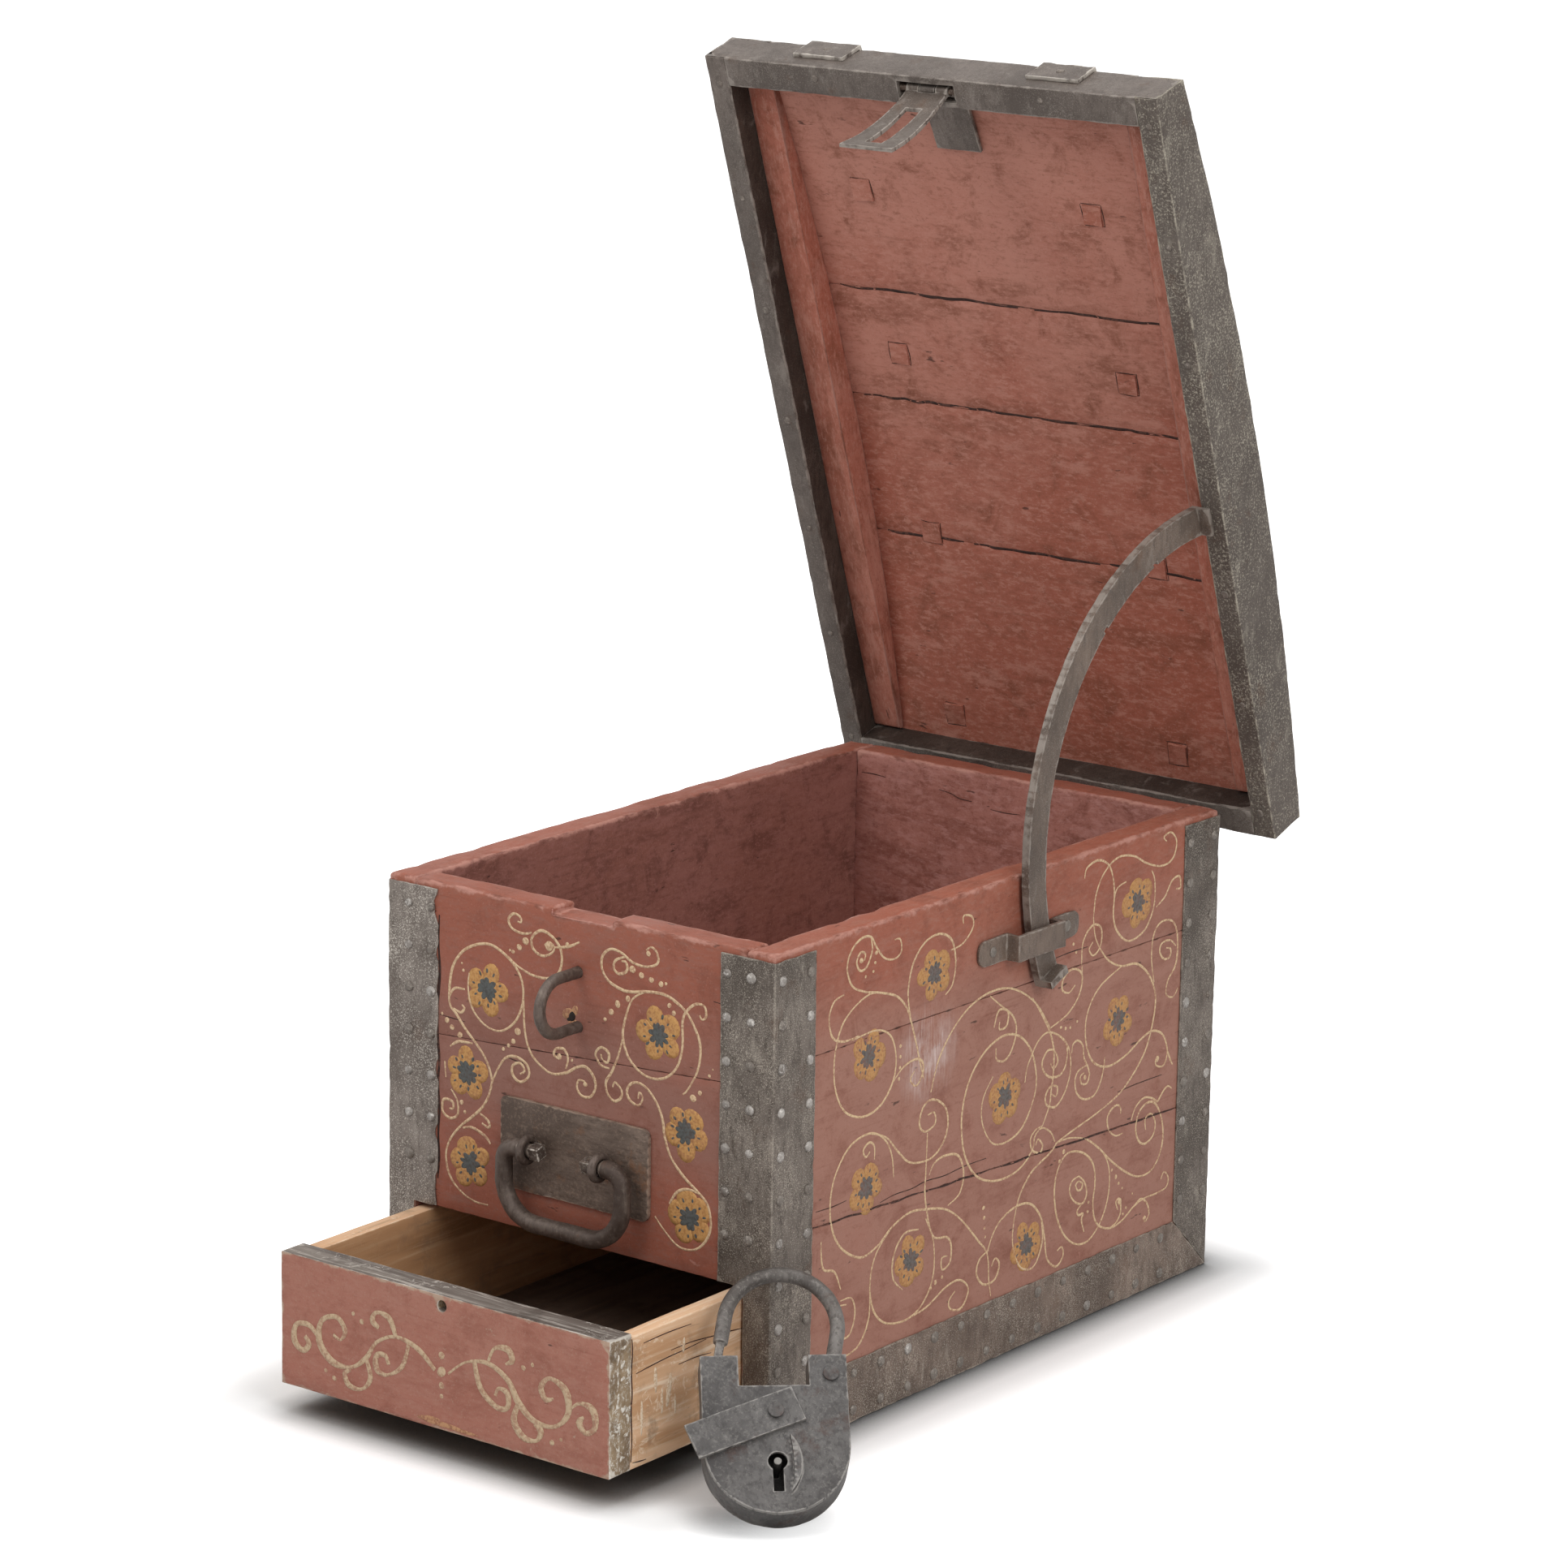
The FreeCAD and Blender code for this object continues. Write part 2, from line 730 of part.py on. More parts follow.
# Rivets through strap and plank, each clenched over a square rove inside the lid
def strap_rivet(x, y):
    top = arch_height(y, strap_thickness)
    under = arch_height(y, -lid_plank_thickness)
    head = Part.makeCone(rivet_head_radius, rivet_head_radius / 2, rivet_head_height, vec(x, y, top))
    shank = cylinder(rivet_radius, vec(x, y, under - rove_thickness), vec(x, y, top))
    half = rove_side / 2
    rove = block(x - half, x + half, y - half, y + half, under - rove_thickness, under)
    return join([head, shank, rove])


rivets = []
for x in (-hinge_spread, hinge_spread):
    rivets += [strap_rivet(x, lid_y(distance)) for distance in rivets_from_back]
save_lid("lid_rivets", Part.makeCompound(rivets))

# Lid stay: a flat bar on an arc that slides through the keeper as the lid moves
stay_tab_z = border_z - stay_tab_thickness
stay_top_angle = 180 - math.degrees(math.asin((stay_tab_z - stay_centre_z) / stay_radius))


def stay_point(angle, radius, x):
    turn = math.radians(angle)
    return vec(x, stay_centre_y + radius * math.cos(turn), stay_centre_z + radius * math.sin(turn))


def stay_arc(radius, angle0, angle1):
    middle = (angle0 + angle1) / 2
    points = [stay_point(angle, radius, stay_inner_x) for angle in (angle0, middle, angle1)]
    return Part.Arc(*points).toShape()


def stay_bar(angle0, angle1):
    outer = stay_radius + stay_width / 2
    inner = stay_radius - stay_width / 2
    ends = [
        Part.makeLine(stay_point(angle, radius0, stay_inner_x), stay_point(angle, radius1, stay_inner_x))
        for angle, radius0, radius1 in ((angle1, outer, inner), (angle0, inner, outer))]
    edges = [stay_arc(outer, angle0, angle1), ends[0], stay_arc(inner, angle1, angle0), ends[1]]
    return Part.Face(Part.Wire(edges)).extrude(vec(stay_thickness, 0, 0))


def turned_block(angle, radial0, radial1, along, x0, x1):
    # A block on the stay's arc, its length along the arc centred on the angle
    shape = block(x0, x1, radial0, radial1, -along / 2, along / 2)
    shape.rotate(vec(0, 0, 0), vec(1, 0, 0), angle)
    shape.translate(vec(0, stay_centre_y, stay_centre_z))
    return shape


stay_half = stay_width / 2
stay_lead = math.degrees(stay_width / stay_radius)
stay_body = stay_bar(stay_top_angle - stay_lead, stay_tip_angle)
above_border = block(
    stay_inner_x - overrun, stay_outer_x + overrun, stay_centre_y - 2 * stay_radius, stay_centre_y,
    stay_tab_z, stay_tab_z + stay_radius)
stay_foot_y = stay_centre_y - math.sqrt(stay_radius ** 2 - (stay_tab_z - stay_centre_z) ** 2)
stay_tab = block(
    stay_inner_x, stay_inner_x + stay_tab_reach, stay_foot_y - stay_half, stay_foot_y + stay_half,
    stay_tab_z, border_z)
stay_hook_turn = math.degrees(stay_hook_thickness / stay_radius) / 2
stay_hook = turned_block(
    stay_tip_angle - stay_hook_turn, stay_radius - stay_half, stay_radius + stay_half,
    stay_hook_thickness, stay_inner_x, stay_outer_x + stay_hook_reach)
stay_notches = [
    turned_block(
        stay_top_angle + angle, stay_radius - stay_half - stay_notch_depth,
        stay_radius - stay_half + stay_notch_depth, stay_notch_width,
        stay_inner_x - overrun, stay_outer_x + overrun)
    for angle in stay_notch_angles]
save_lid("lid_stay", join([stay_body.cut([above_border] + stay_notches), stay_tab, stay_hook]))

# Keeper: a bridge on the wall, its window as wide as the stay's sweep
stay_offset = math.hypot(stay_centre_ahead, stay_centre_below)
stay_far = stay_offset + stay_radius
stay_tip_point = stay_point(stay_tip_angle, stay_radius, stay_inner_x)
stay_near = math.hypot(stay_tip_point.y - hinge_y, stay_tip_point.z - hinge_z)
keeper_drop = hinge_z - keeper_centre_z
keeper_y = hinge_y - math.sqrt(((stay_far + stay_near) / 2) ** 2 - keeper_drop ** 2)
keeper_half = (stay_far - stay_near) / 2 + stay_half + keeper_play
keeper_low = keeper_centre_z - keeper_height / 2
keeper_high = keeper_centre_z + keeper_height / 2
bar_inner = stay_outer_x + keeper_face_gap
bar_outer = bar_inner + keeper_bar_thickness
keeper_outer_half = keeper_half + keeper_bar_thickness
keeper_pieces = [
    block(bar_inner, bar_outer, keeper_y - keeper_outer_half, keeper_y + keeper_outer_half,
          keeper_low, keeper_high)]
for side in (-1, 1):
    riser = sorted((keeper_y + side * keeper_half, keeper_y + side * keeper_outer_half))
    foot = sorted((keeper_y + side * keeper_half, keeper_y + side * (keeper_outer_half + keeper_foot)))
    keeper_pieces.append(block(half_width, bar_inner, riser[0], riser[1], keeper_low, keeper_high))
    keeper_pieces.append(block(
        half_width, half_width + keeper_thickness, foot[0], foot[1], keeper_low, keeper_high))
    nail_y = keeper_y + side * (keeper_outer_half + keeper_foot / 2)
    nails.append(nail_at(vec(half_width + keeper_thickness, nail_y, keeper_centre_z), vec(1, 0, 0)))
save("stay_keeper", join(keeper_pieces))

# Hasp hinge plate: from its knuckle up through the rail, then back under the planks
plate_end_y = lid_front_y + plate_end_from_front
plate_line = [
    (hasp_y, hasp_z),
    (hasp_y, hasp_z + plate_rise),
    (plate_end_y, arch_height(plate_end_y, -lid_plank_thickness) - plate_thickness)]
plate_strip = prism_x(strip_outline(plate_line, plate_thickness), -plate_knuckle / 2, plate_knuckle / 2)
plate_wide = prism_x(strip_outline(plate_line[1:], plate_thickness), -plate_width / 2, plate_width / 2)


def hasp_cylinder(radius, x0, x1):
    return cylinder(radius, vec(x0, hasp_y, hasp_z), vec(x1, hasp_y, hasp_z))


plate_half_knuckle = plate_knuckle / 2
hasp_bore = hasp_cylinder(hasp_pin_radius + hinge_fit, -slot_half, slot_half)
plate_eye = hasp_cylinder(hasp_knuckle_radius, -plate_half_knuckle, plate_half_knuckle)
save_lid("hasp_plate", join([plate_strip, plate_wide, plate_eye]).cut(hasp_bore))
save_lid("hasp_pin", hasp_cylinder(hasp_pin_radius, -slot_half, slot_half))

# Hasp: a slotted tongue, curved towards the chest and widening to its tip
hasp_turn = math.degrees(2 * math.asin(hasp_length / 2 / hasp_curve_radius))
hasp_radii = (hasp_curve_radius - hasp_thickness / 2, hasp_curve_radius + hasp_thickness / 2)


def hasp_point(radius, angle, x):
    # Along the curve before it leans, the root at the pivot and the chord straight down
    half = math.radians(hasp_turn / 2)
    turn = math.radians(angle)
    along = hasp_curve_radius * math.sin(half) - radius * math.sin(turn)
    across = radius * math.cos(turn) - hasp_curve_radius * math.cos(half)
    return vec(x, hasp_y + across, hasp_z - along)


half_turn = hasp_turn / 2
hasp_edges = [
    Part.Arc(*[hasp_point(hasp_radii[0], angle, 0) for angle in (half_turn, 0, -half_turn)]).toShape(),
    Part.makeLine(hasp_point(hasp_radii[0], -half_turn, 0), hasp_point(hasp_radii[1], -half_turn, 0)),
    Part.Arc(*[hasp_point(hasp_radii[1], angle, 0) for angle in (-half_turn, 0, half_turn)]).toShape(),
    Part.makeLine(hasp_point(hasp_radii[1], half_turn, 0), hasp_point(hasp_radii[0], half_turn, 0))]
hasp_sheet = Part.Face(Part.Wire(hasp_edges)).extrude(vec(hasp_tip_width, 0, 0))
hasp_sheet.translate(vec(-hasp_tip_width / 2, 0, 0))
hasp_low = hasp_z - hasp_length - hasp_thickness
hasp_front_view = [
    (-hasp_root_width / 2, hasp_z + hasp_thickness), (-hasp_root_width / 2, hasp_z - hasp_slot_top),
    (-hasp_tip_width / 2, hasp_low), (hasp_tip_width / 2, hasp_low),
    (hasp_root_width / 2, hasp_z - hasp_slot_top), (hasp_root_width / 2, hasp_z + hasp_thickness)]
hasp_reach = hasp_length / 2
hasp_outline = prism_y(hasp_front_view, hasp_y - hasp_reach, hasp_y + hasp_reach)
slot_high = border_z - hasp_slot_top
hasp_slot = block(
    -hasp_slot_width / 2, hasp_slot_width / 2, hasp_y - hasp_reach, hasp_y + hasp_reach,
    slot_high - hasp_slot_length, slot_high)
hasp_root_half = hasp_root_width / 2
plate_room = plate_half_knuckle + knuckle_side_gap
hasp_clear = hasp_cylinder(hasp_knuckle_radius + knuckle_side_gap, -plate_room, plate_room)
hasp_tongue = hasp_sheet.common(hasp_outline)
hasp_tongue.rotate(vec(0, hasp_y, hasp_z), vec(1, 0, 0), hasp_lean_angle)
hasp_body = join([hasp_tongue, hasp_cylinder(hasp_knuckle_radius, -hasp_root_half, hasp_root_half)])
save_lid("hasp", hasp_body.cut([hasp_slot, hasp_clear, hasp_bore]))

# Staple: a round bar driven through the front wall
staple_bend = (staple_top - staple_bottom) / 2
staple_tail_y = front_inner + staple_tail
staple_nose_y = front_face - staple_reach + staple_rod
staple_points = [
    vec(staple_offset, staple_tail_y, staple_top),
    vec(staple_offset, staple_nose_y + staple_bend, staple_top),
    vec(staple_offset, staple_nose_y, (staple_top + staple_bottom) / 2),
    vec(staple_offset, staple_nose_y + staple_bend, staple_bottom),
    vec(staple_offset, staple_tail_y, staple_bottom)]
staple_edges = [
    Part.LineSegment(staple_points[0], staple_points[1]).toShape(),
    Part.Arc(staple_points[1], staple_points[2], staple_points[3]).toShape(),
    Part.LineSegment(staple_points[3], staple_points[4]).toShape()]
save("lock_staple", rod_along(staple_edges, staple_rod))

# Bail handle with its plate and two eyes
handle_plate = block(
    -handle_plate_width / 2, handle_plate_width / 2, front_face - handle_plate_thickness, front_face,
    handle_plate_bottom, handle_plate_top)
save("handle_plate", handle_plate.cut(eye_shanks))
eye_ring_radius = bail_pivot_radius + bail_fit + eye_rod
eye_pieces = []
for x in eye_places:
    ring = Part.makeTorus(eye_ring_radius, eye_rod, vec(x, bail_y, handle_height), vec(1, 0, 0))
    shank = cylinder(
        eye_rod, vec(x, bail_y + eye_ring_radius, handle_height), vec(x, eye_shank_end, handle_height))
    rove = cylinder(
        eye_rove_radius, vec(x, front_inner, handle_height), vec(x, eye_shank_end, handle_height))
    eye_pieces.append(join([ring, shank, rove]))
save("handle_eyes", Part.makeCompound(eye_pieces))

bail_half = bail_span / 2
bail_low = handle_height - bail_drop
bail_inner = eye_spread + eye_rod + bail_tip_gap
bail_points = [
    vec(-bail_inner, bail_y, handle_height), vec(-bail_half, bail_y, handle_height),
    vec(-bail_half, bail_y, bail_low), vec(bail_half, bail_y, bail_low),
    vec(bail_half, bail_y, handle_height), vec(bail_inner, bail_y, handle_height)]
bail_radii = (bail_top_radius, bail_bottom_radius, bail_bottom_radius, bail_top_radius)
bail_pieces = [rod_along(rounded_path(bail_points, bail_radii), bail_rod)]
tip_start = eye_spread - eye_rod - bail_tip_gap
tip_half = bail_tip_side / 2
for side in (-1, 1):
    bail_pieces.append(cylinder(
        bail_pivot_radius, vec(side * tip_start, bail_y, handle_height),
        vec(side * bail_inner, bail_y, handle_height)))
    tip = sorted((side * tip_start, side * (tip_start - bail_tip_length)))
    bail_pieces.append(block(
        tip[0], tip[1], bail_y - tip_half, bail_y + tip_half,
        handle_height - tip_half, handle_height + tip_half))
save("handle_bail", join(bail_pieces))

# Drawer, drawn as it stands pulled out
drawer_inner_front = drawer_front_y + drawer_front_thickness
drawer_side_top = drawer_high - drawer_side_step
drawer_inner_half = drawer_half_width - drawer_side_thickness
knob_hole_z = drawer_high - knob_hole_below_top
knob_hole = cylinder(
    knob_hole_radius, vec(0, drawer_front_y - overrun, knob_hole_z),
    vec(0, drawer_inner_front + overrun, knob_hole_z))
save("drawer_front", block(
    -drawer_half_width, drawer_half_width, drawer_front_y, drawer_inner_front,
    drawer_low, drawer_high).cut(knob_hole))
drawer_side = block(
    drawer_inner_half, drawer_half_width, drawer_inner_front, drawer_back_y, drawer_low, drawer_side_top)
save("drawer_side_right", drawer_side)
save("drawer_side_left", mirrored(drawer_side))
save("drawer_back", block(
    -drawer_inner_half, drawer_inner_half, drawer_back_y - drawer_side_thickness, drawer_back_y,
    drawer_low, drawer_side_top))
save("drawer_bottom", block(
    -drawer_inner_half, drawer_inner_half, drawer_inner_front, drawer_back_y - drawer_side_thickness,
    drawer_low, drawer_low + drawer_bottom_thickness))

save("chest_nails", Part.makeCompound(nails))

# Padlock, drawn upright with its face to -Y and its foot at the origin, then leant back
lock_half = lock_width / 2
lock_face = -lock_thickness / 2
lock_back = lock_thickness / 2
plate_back = lock_face + lock_plate
case_back_inner = lock_back - lock_plate
ear_inner = lock_half - lock_ear


def lock_outline(inset, y):
    # Rounded foot, straight sides and two ears either side of the throat
    side = lock_half - inset
    top = lock_height - inset
    throat = lock_throat - inset
    inner = ear_inner + inset
    corners = [
        vec(side, y, lock_half), vec(side, y, top), vec(inner, y, top), vec(inner, y, throat),
        vec(-inner, y, throat), vec(-inner, y, top), vec(-side, y, top), vec(-side, y, lock_half)]
    edges = [Part.makeLine(a, b) for a, b in zip(corners, corners[1:])]
    edges.append(Part.Arc(corners[-1], vec(0, y, lock_half - side), corners[0]).toShape())
    return Part.Face(Part.Wire(edges))


def placed(shape):
    # The padlock stands on the ground on its back edge, leaning towards the chest
    copy = shape.copy()
    copy.rotate(vec(0, 0, 0), vec(1, 0, 0), -lock_lean)
    copy.rotate(vec(0, 0, 0), vec(0, 0, 1), lock_turn)
    copy.translate(vec(lock_x, lock_y, lock_back * math.sin(math.radians(lock_lean))))
    return copy


def save_lock(name, shape):
    save(name, placed(shape))


# Case: a pan with its rim, opened at the ears for the shackle
case_depth = lock_back - plate_back
cavity = lock_outline(lock_plate, plate_back).extrude(vec(0, case_depth - lock_plate, 0))
shell = lock_outline(0, plate_back).extrude(vec(0, case_depth, 0)).cut(cavity)
slot_depth = shackle_rod + ear_slot_margin
tongue_half = tongue_side / 2
left_slot = block(
    -shackle_spread - tongue_half - tongue_swing_room, -shackle_spread + tongue_half + tongue_swing_room,
    -slot_depth, slot_depth, lock_throat, lock_height + overrun)
right_slot = block(
    shackle_spread - shackle_rod - ear_slot_margin, lock_half + overrun, -slot_depth, slot_depth,
    shackle_pivot_height, lock_height + overrun)
key_post = cylinder(
    key_post_radius, vec(0, case_back_inner, keyhole_height), vec(0, lock_face, keyhole_height))
bolt_half = bolt_thickness / 2
bolt_tip = -shackle_spread + tongue_half + bolt_tip_gap
bolt_end = bolt_tip + bolt_length
bolt_guide = block(
    bolt_tip + bolt_tip_gap, bolt_tip + bolt_tip_gap + bolt_guide_length,
    bolt_half + bolt_guide_gap, case_back_inner, bolt_low, bolt_high)
shackle_pin_hole = cylinder(
    lock_pin_radius, vec(shackle_spread, lock_face - overrun, shackle_pivot_height),
    vec(shackle_spread, lock_back + overrun, shackle_pivot_height))
spring_end = bolt_end + spring_gap
spring_foot = spring_end + spring_reach
spring_low = bolt_low - spring_drop
spring_mount = block(
    spring_foot - spring_leaf, spring_foot + spring_leaf, -spring_width / 2, case_back_inner,
    spring_low - spring_reach, spring_low)
case = join([shell.cut([left_slot, right_slot]), key_post, bolt_guide, spring_mount])
save_lock("padlock_case", case.cut(shackle_pin_hole))

# Front plate with the keyhole and the raised guard beside it


def through_plate(radius, height):
    return cylinder(radius, vec(0, lock_face - overrun, height), vec(0, plate_back + overrun, height))


keyhole = join([
    through_plate(keyhole_radius, keyhole_height),
    block(-keyhole_slot_width / 2, keyhole_slot_width / 2, lock_face - overrun, plate_back + overrun,
          keyhole_slot_bottom, keyhole_height)])
cover_rivet_hole = through_plate(cover_rivet_radius, cover_rivet_height)
guard_middle = (guard_low + guard_high) / 2


def guard_arc(z0, z1, bow):
    middle = vec(guard_offset + bow, lock_face, guard_middle)
    return Part.Arc(vec(guard_offset, lock_face, z0), middle, vec(guard_offset, lock_face, z1)).toShape()


guard_arcs = [
    guard_arc(guard_low, guard_high, guard_bow + guard_thickness / 2),
    guard_arc(guard_high, guard_low, guard_bow - guard_thickness / 2)]
guard = Part.Face(Part.Wire(guard_arcs)).extrude(vec(0, -guard_height, 0))
front_plate = lock_outline(0, lock_face).extrude(vec(0, lock_plate, 0))
plate_holes = [keyhole, cover_rivet_hole, shackle_pin_hole]
save_lock("padlock_front_plate", join([front_plate, guard]).cut(plate_holes))

# Rivets: the shackle's pivot and the keyhole cover's pivot


def lock_bar(radius, x, y0, y1, height):
    return cylinder(radius, vec(x, y0, height), vec(x, y1, height))


shackle_rivet = join([
    lock_bar(lock_pin_radius, shackle_spread, lock_face, lock_back, shackle_pivot_height),
    lock_bar(lock_rivet_head_radius, shackle_spread, lock_face - lock_rivet_head_height, lock_face,
             shackle_pivot_height),
    lock_bar(lock_rivet_head_radius, shackle_spread, lock_back, lock_back + lock_rivet_head_height,
             shackle_pivot_height)])
cover_back = lock_face - cover_gap
cover_front = cover_back - cover_thickness
cover_rivet_top = cover_front - cover_gap
cover_rivet = join([
    lock_bar(cover_rivet_radius, 0, plate_back, cover_rivet_top, cover_rivet_height),
    lock_bar(lock_rivet_head_radius, 0, cover_rivet_top, cover_rivet_top - lock_rivet_head_height,
             cover_rivet_height),
    lock_bar(
        lock_rivet_head_radius, 0, plate_back, plate_back + lock_rivet_head_height,
        cover_rivet_height)])
save_lock("padlock_rivets", Part.makeCompound([shackle_rivet, cover_rivet]))

# Keyhole cover, swung aside on its rivet
cover = block(
    cover_short_end - cover_length, cover_short_end, cover_front, cover_back,
    cover_rivet_height - cover_width / 2, cover_rivet_height + cover_width / 2)
cover_pivot = vec(0, 0, cover_rivet_height)
cover.rotate(cover_pivot, vec(0, 1, 0), -cover_drop_angle)
cover_bore = cylinder(
    cover_rivet_radius + lock_pin_fit, vec(0, cover_front - overrun, cover_rivet_height),
    vec(0, cover_back + overrun, cover_rivet_height))
save_lock("padlock_keyhole_cover", cover.cut(cover_bore))

# Shackle: hinged in the right ear, its notched tongue lifted in the left one
shackle_points = [
    vec(shackle_spread, 0, shackle_pivot_height), vec(shackle_spread, 0, shackle_arch_height),
    vec(0, 0, shackle_arch_height + shackle_spread), vec(-shackle_spread, 0, shackle_arch_height),
    vec(-shackle_spread, 0, shackle_shoulder)]
shackle_edges = [
    Part.LineSegment(shackle_points[0], shackle_points[1]).toShape(),
    Part.Arc(shackle_points[1], shackle_points[2], shackle_points[3]).toShape(),
    Part.LineSegment(shackle_points[3], shackle_points[4]).toShape()]
shackle_boss = cylinder(
    shackle_boss_radius, vec(shackle_spread, -shackle_boss_length / 2, shackle_pivot_height),
    vec(shackle_spread, shackle_boss_length / 2, shackle_pivot_height))
tongue = block(
    -shackle_spread - tongue_half, -shackle_spread + tongue_half, -tongue_half, tongue_half,
    tongue_end, shackle_shoulder)
tongue_notch = block(
    -shackle_spread + tongue_half - tongue_notch_depth, -shackle_spread + tongue_half + overrun,
    -tongue_half - overrun, tongue_half + overrun, tongue_notch_low, tongue_notch_high)
shackle_bore = cylinder(
    lock_pin_radius + lock_pin_fit, vec(shackle_spread, -lock_thickness, shackle_pivot_height),
    vec(shackle_spread, lock_thickness, shackle_pivot_height))
shackle_bow = rod_along(shackle_edges, shackle_rod)
shackle = join([shackle_bow, shackle_boss, tongue.cut(tongue_notch)]).cut(shackle_bore)
shackle.rotate(vec(shackle_spread, 0, shackle_pivot_height), vec(0, 1, 0), shackle_open_angle)
save_lock("padlock_shackle", shackle)

# Bolt drawn back inside the case, and the leaf spring behind it
save_lock("padlock_bolt", block(bolt_tip, bolt_end, -bolt_half, bolt_half, bolt_low, bolt_high))
bolt_middle = (bolt_low + bolt_high) / 2
spring_line = [
    (spring_end + spring_leaf / 2, bolt_middle),
    (spring_end + spring_leaf / 2, spring_low + spring_leaf / 2),
    (spring_foot + spring_leaf, spring_low + spring_leaf / 2)]
save_lock("padlock_spring", prism_y(
    strip_outline(spring_line, spring_leaf), -spring_width / 2, spring_width / 2))
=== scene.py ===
import json
import math
import random

import bmesh
import bpy
import numpy as np
from mathutils import Matrix, Vector, kdtree, noise


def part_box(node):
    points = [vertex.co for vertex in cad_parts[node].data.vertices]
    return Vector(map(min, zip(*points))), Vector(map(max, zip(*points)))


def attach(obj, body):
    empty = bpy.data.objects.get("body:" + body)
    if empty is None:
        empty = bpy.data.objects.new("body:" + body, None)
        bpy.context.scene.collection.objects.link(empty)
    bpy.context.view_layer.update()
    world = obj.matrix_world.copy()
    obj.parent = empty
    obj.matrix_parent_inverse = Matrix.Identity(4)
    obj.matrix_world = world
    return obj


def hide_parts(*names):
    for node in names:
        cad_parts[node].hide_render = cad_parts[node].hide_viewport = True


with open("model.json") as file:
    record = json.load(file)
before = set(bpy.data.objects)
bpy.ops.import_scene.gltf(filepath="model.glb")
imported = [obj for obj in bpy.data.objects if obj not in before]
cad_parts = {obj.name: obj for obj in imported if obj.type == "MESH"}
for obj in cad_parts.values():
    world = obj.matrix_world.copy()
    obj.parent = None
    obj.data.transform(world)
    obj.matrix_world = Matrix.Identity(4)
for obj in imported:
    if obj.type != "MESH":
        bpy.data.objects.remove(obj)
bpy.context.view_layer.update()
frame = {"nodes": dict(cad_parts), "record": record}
mm = 0.001

for spare in ("Cube", "Light", "Camera"):  # what an empty Blender file starts with
    if spare in bpy.data.objects:
        bpy.data.objects.remove(bpy.data.objects[spare])

bodyOf = {node: body for body, nodes in frame["record"]["behaviour"]["bodies"].items() for node in nodes}


# Helpers for objects and nodes
def linked(name, data):
    thing = bpy.data.objects.new(name, data)
    bpy.context.scene.collection.objects.link(thing)
    return thing


def wire(tree, node, wires):
    for socket, source in wires.items():
        if isinstance(source, bpy.types.NodeSocket):
            tree.links.new(source, node.inputs[socket])
        else:
            node.inputs[socket].default_value = source


def addNode(tree, kind, wires=None, **settings):
    node = tree.nodes.new(kind)
    for key, value in settings.items():
        setattr(node, key, value)
    wire(tree, node, wires or {})
    return node


def wired(tree, kind, wires=None, out=0, **settings):
    return addNode(tree, kind, wires, **settings).outputs[out]


def calc(tree, operation, first, second=0.0):
    return wired(tree, "ShaderNodeMath", {0: first, 1: second}, operation=operation)


def times(tree, first, second):
    return calc(tree, "MULTIPLY", first, second)


def weighed(tree, *parts):  # the sum of values, each times its weight
    total = None
    for value, weight in parts:
        part = times(tree, value, weight)
        total = part if total is None else calc(tree, "ADD", total, part)
    return total


def vecMath(tree, operation, first, second=None, out=0):
    wires = {0: first} if second is None else {0: first, 1: second}
    return wired(tree, "ShaderNodeVectorMath", wires, out, operation=operation)


def scaled(tree, vector, scale):
    return wired(tree, "ShaderNodeVectorMath", {0: vector, "Scale": scale}, operation="SCALE")


def mixed(tree, share, first, second):
    return wired(tree, "ShaderNodeMix", {0: share, 6: first, 7: second}, 2, data_type="RGBA")


def ranged(tree, value, low, high, start=0.0, end=1.0):
    wires = {0: value, 1: low, 2: high, 3: start, 4: end}
    return wired(tree, "ShaderNodeMapRange", wires, interpolation_type="SMOOTHSTEP")


def cloud(tree, vector, scale, detail=4.0, rough=0.55, twist=0.0):
    wires = {"Vector": vector, "Scale": scale, "Detail": detail, "Roughness": rough, "Distortion": twist}
    return wired(tree, "ShaderNodeTexNoise", wires, "Fac")


def colour(red, green, blue):  # 0 to 255, as a screen shows it
    shares = [channel / 255 for channel in (red, green, blue)]
    return tuple(c / 12.92 if c <= 0.04045 else ((c + 0.055) / 1.055) ** 2.4 for c in shares) + (1.0,)


def newMaterial(name):
    material = bpy.data.materials.new(name)
    material.use_nodes = True
    material.node_tree.nodes.clear()
    return material, material.node_tree


# Camera, floor and light
view = {"eye": (2325.2, -3090.3, 1346.6), "target": (-30.6, 0.0, 401.2), "lens": 123.65, "sensor": 36.0,
        "roll": 0.88, "far": 200.0}
studio = {"world": 0.5, "floorColour": 0.93, "contactReach": 0.032, "contactFrom": 0.5, "contactShade": 0.85,
          "floorBounce": 0.85, "glowNear": 0.0, "glowFar": 0.1, "glow": 0.8, "footCentre": (0.0, -0.07, 0.0),
          "footHalf": (0.19, 0.35, 1.0), "floorSide": 120.0, "floorDrop": 0.4, "aim": (0.0, 0.0, 0.35),
          "lamps": {"key": ((-1.3, -2.8, 3.4), 2.2, 46.0), "fill": ((3.4, -1.2, 2.6), 2.2, 56.0),
                    "top": ((0.2, 0.2, 4.2), 2.6, 52.0)}}
white = (1, 1, 1, 1)


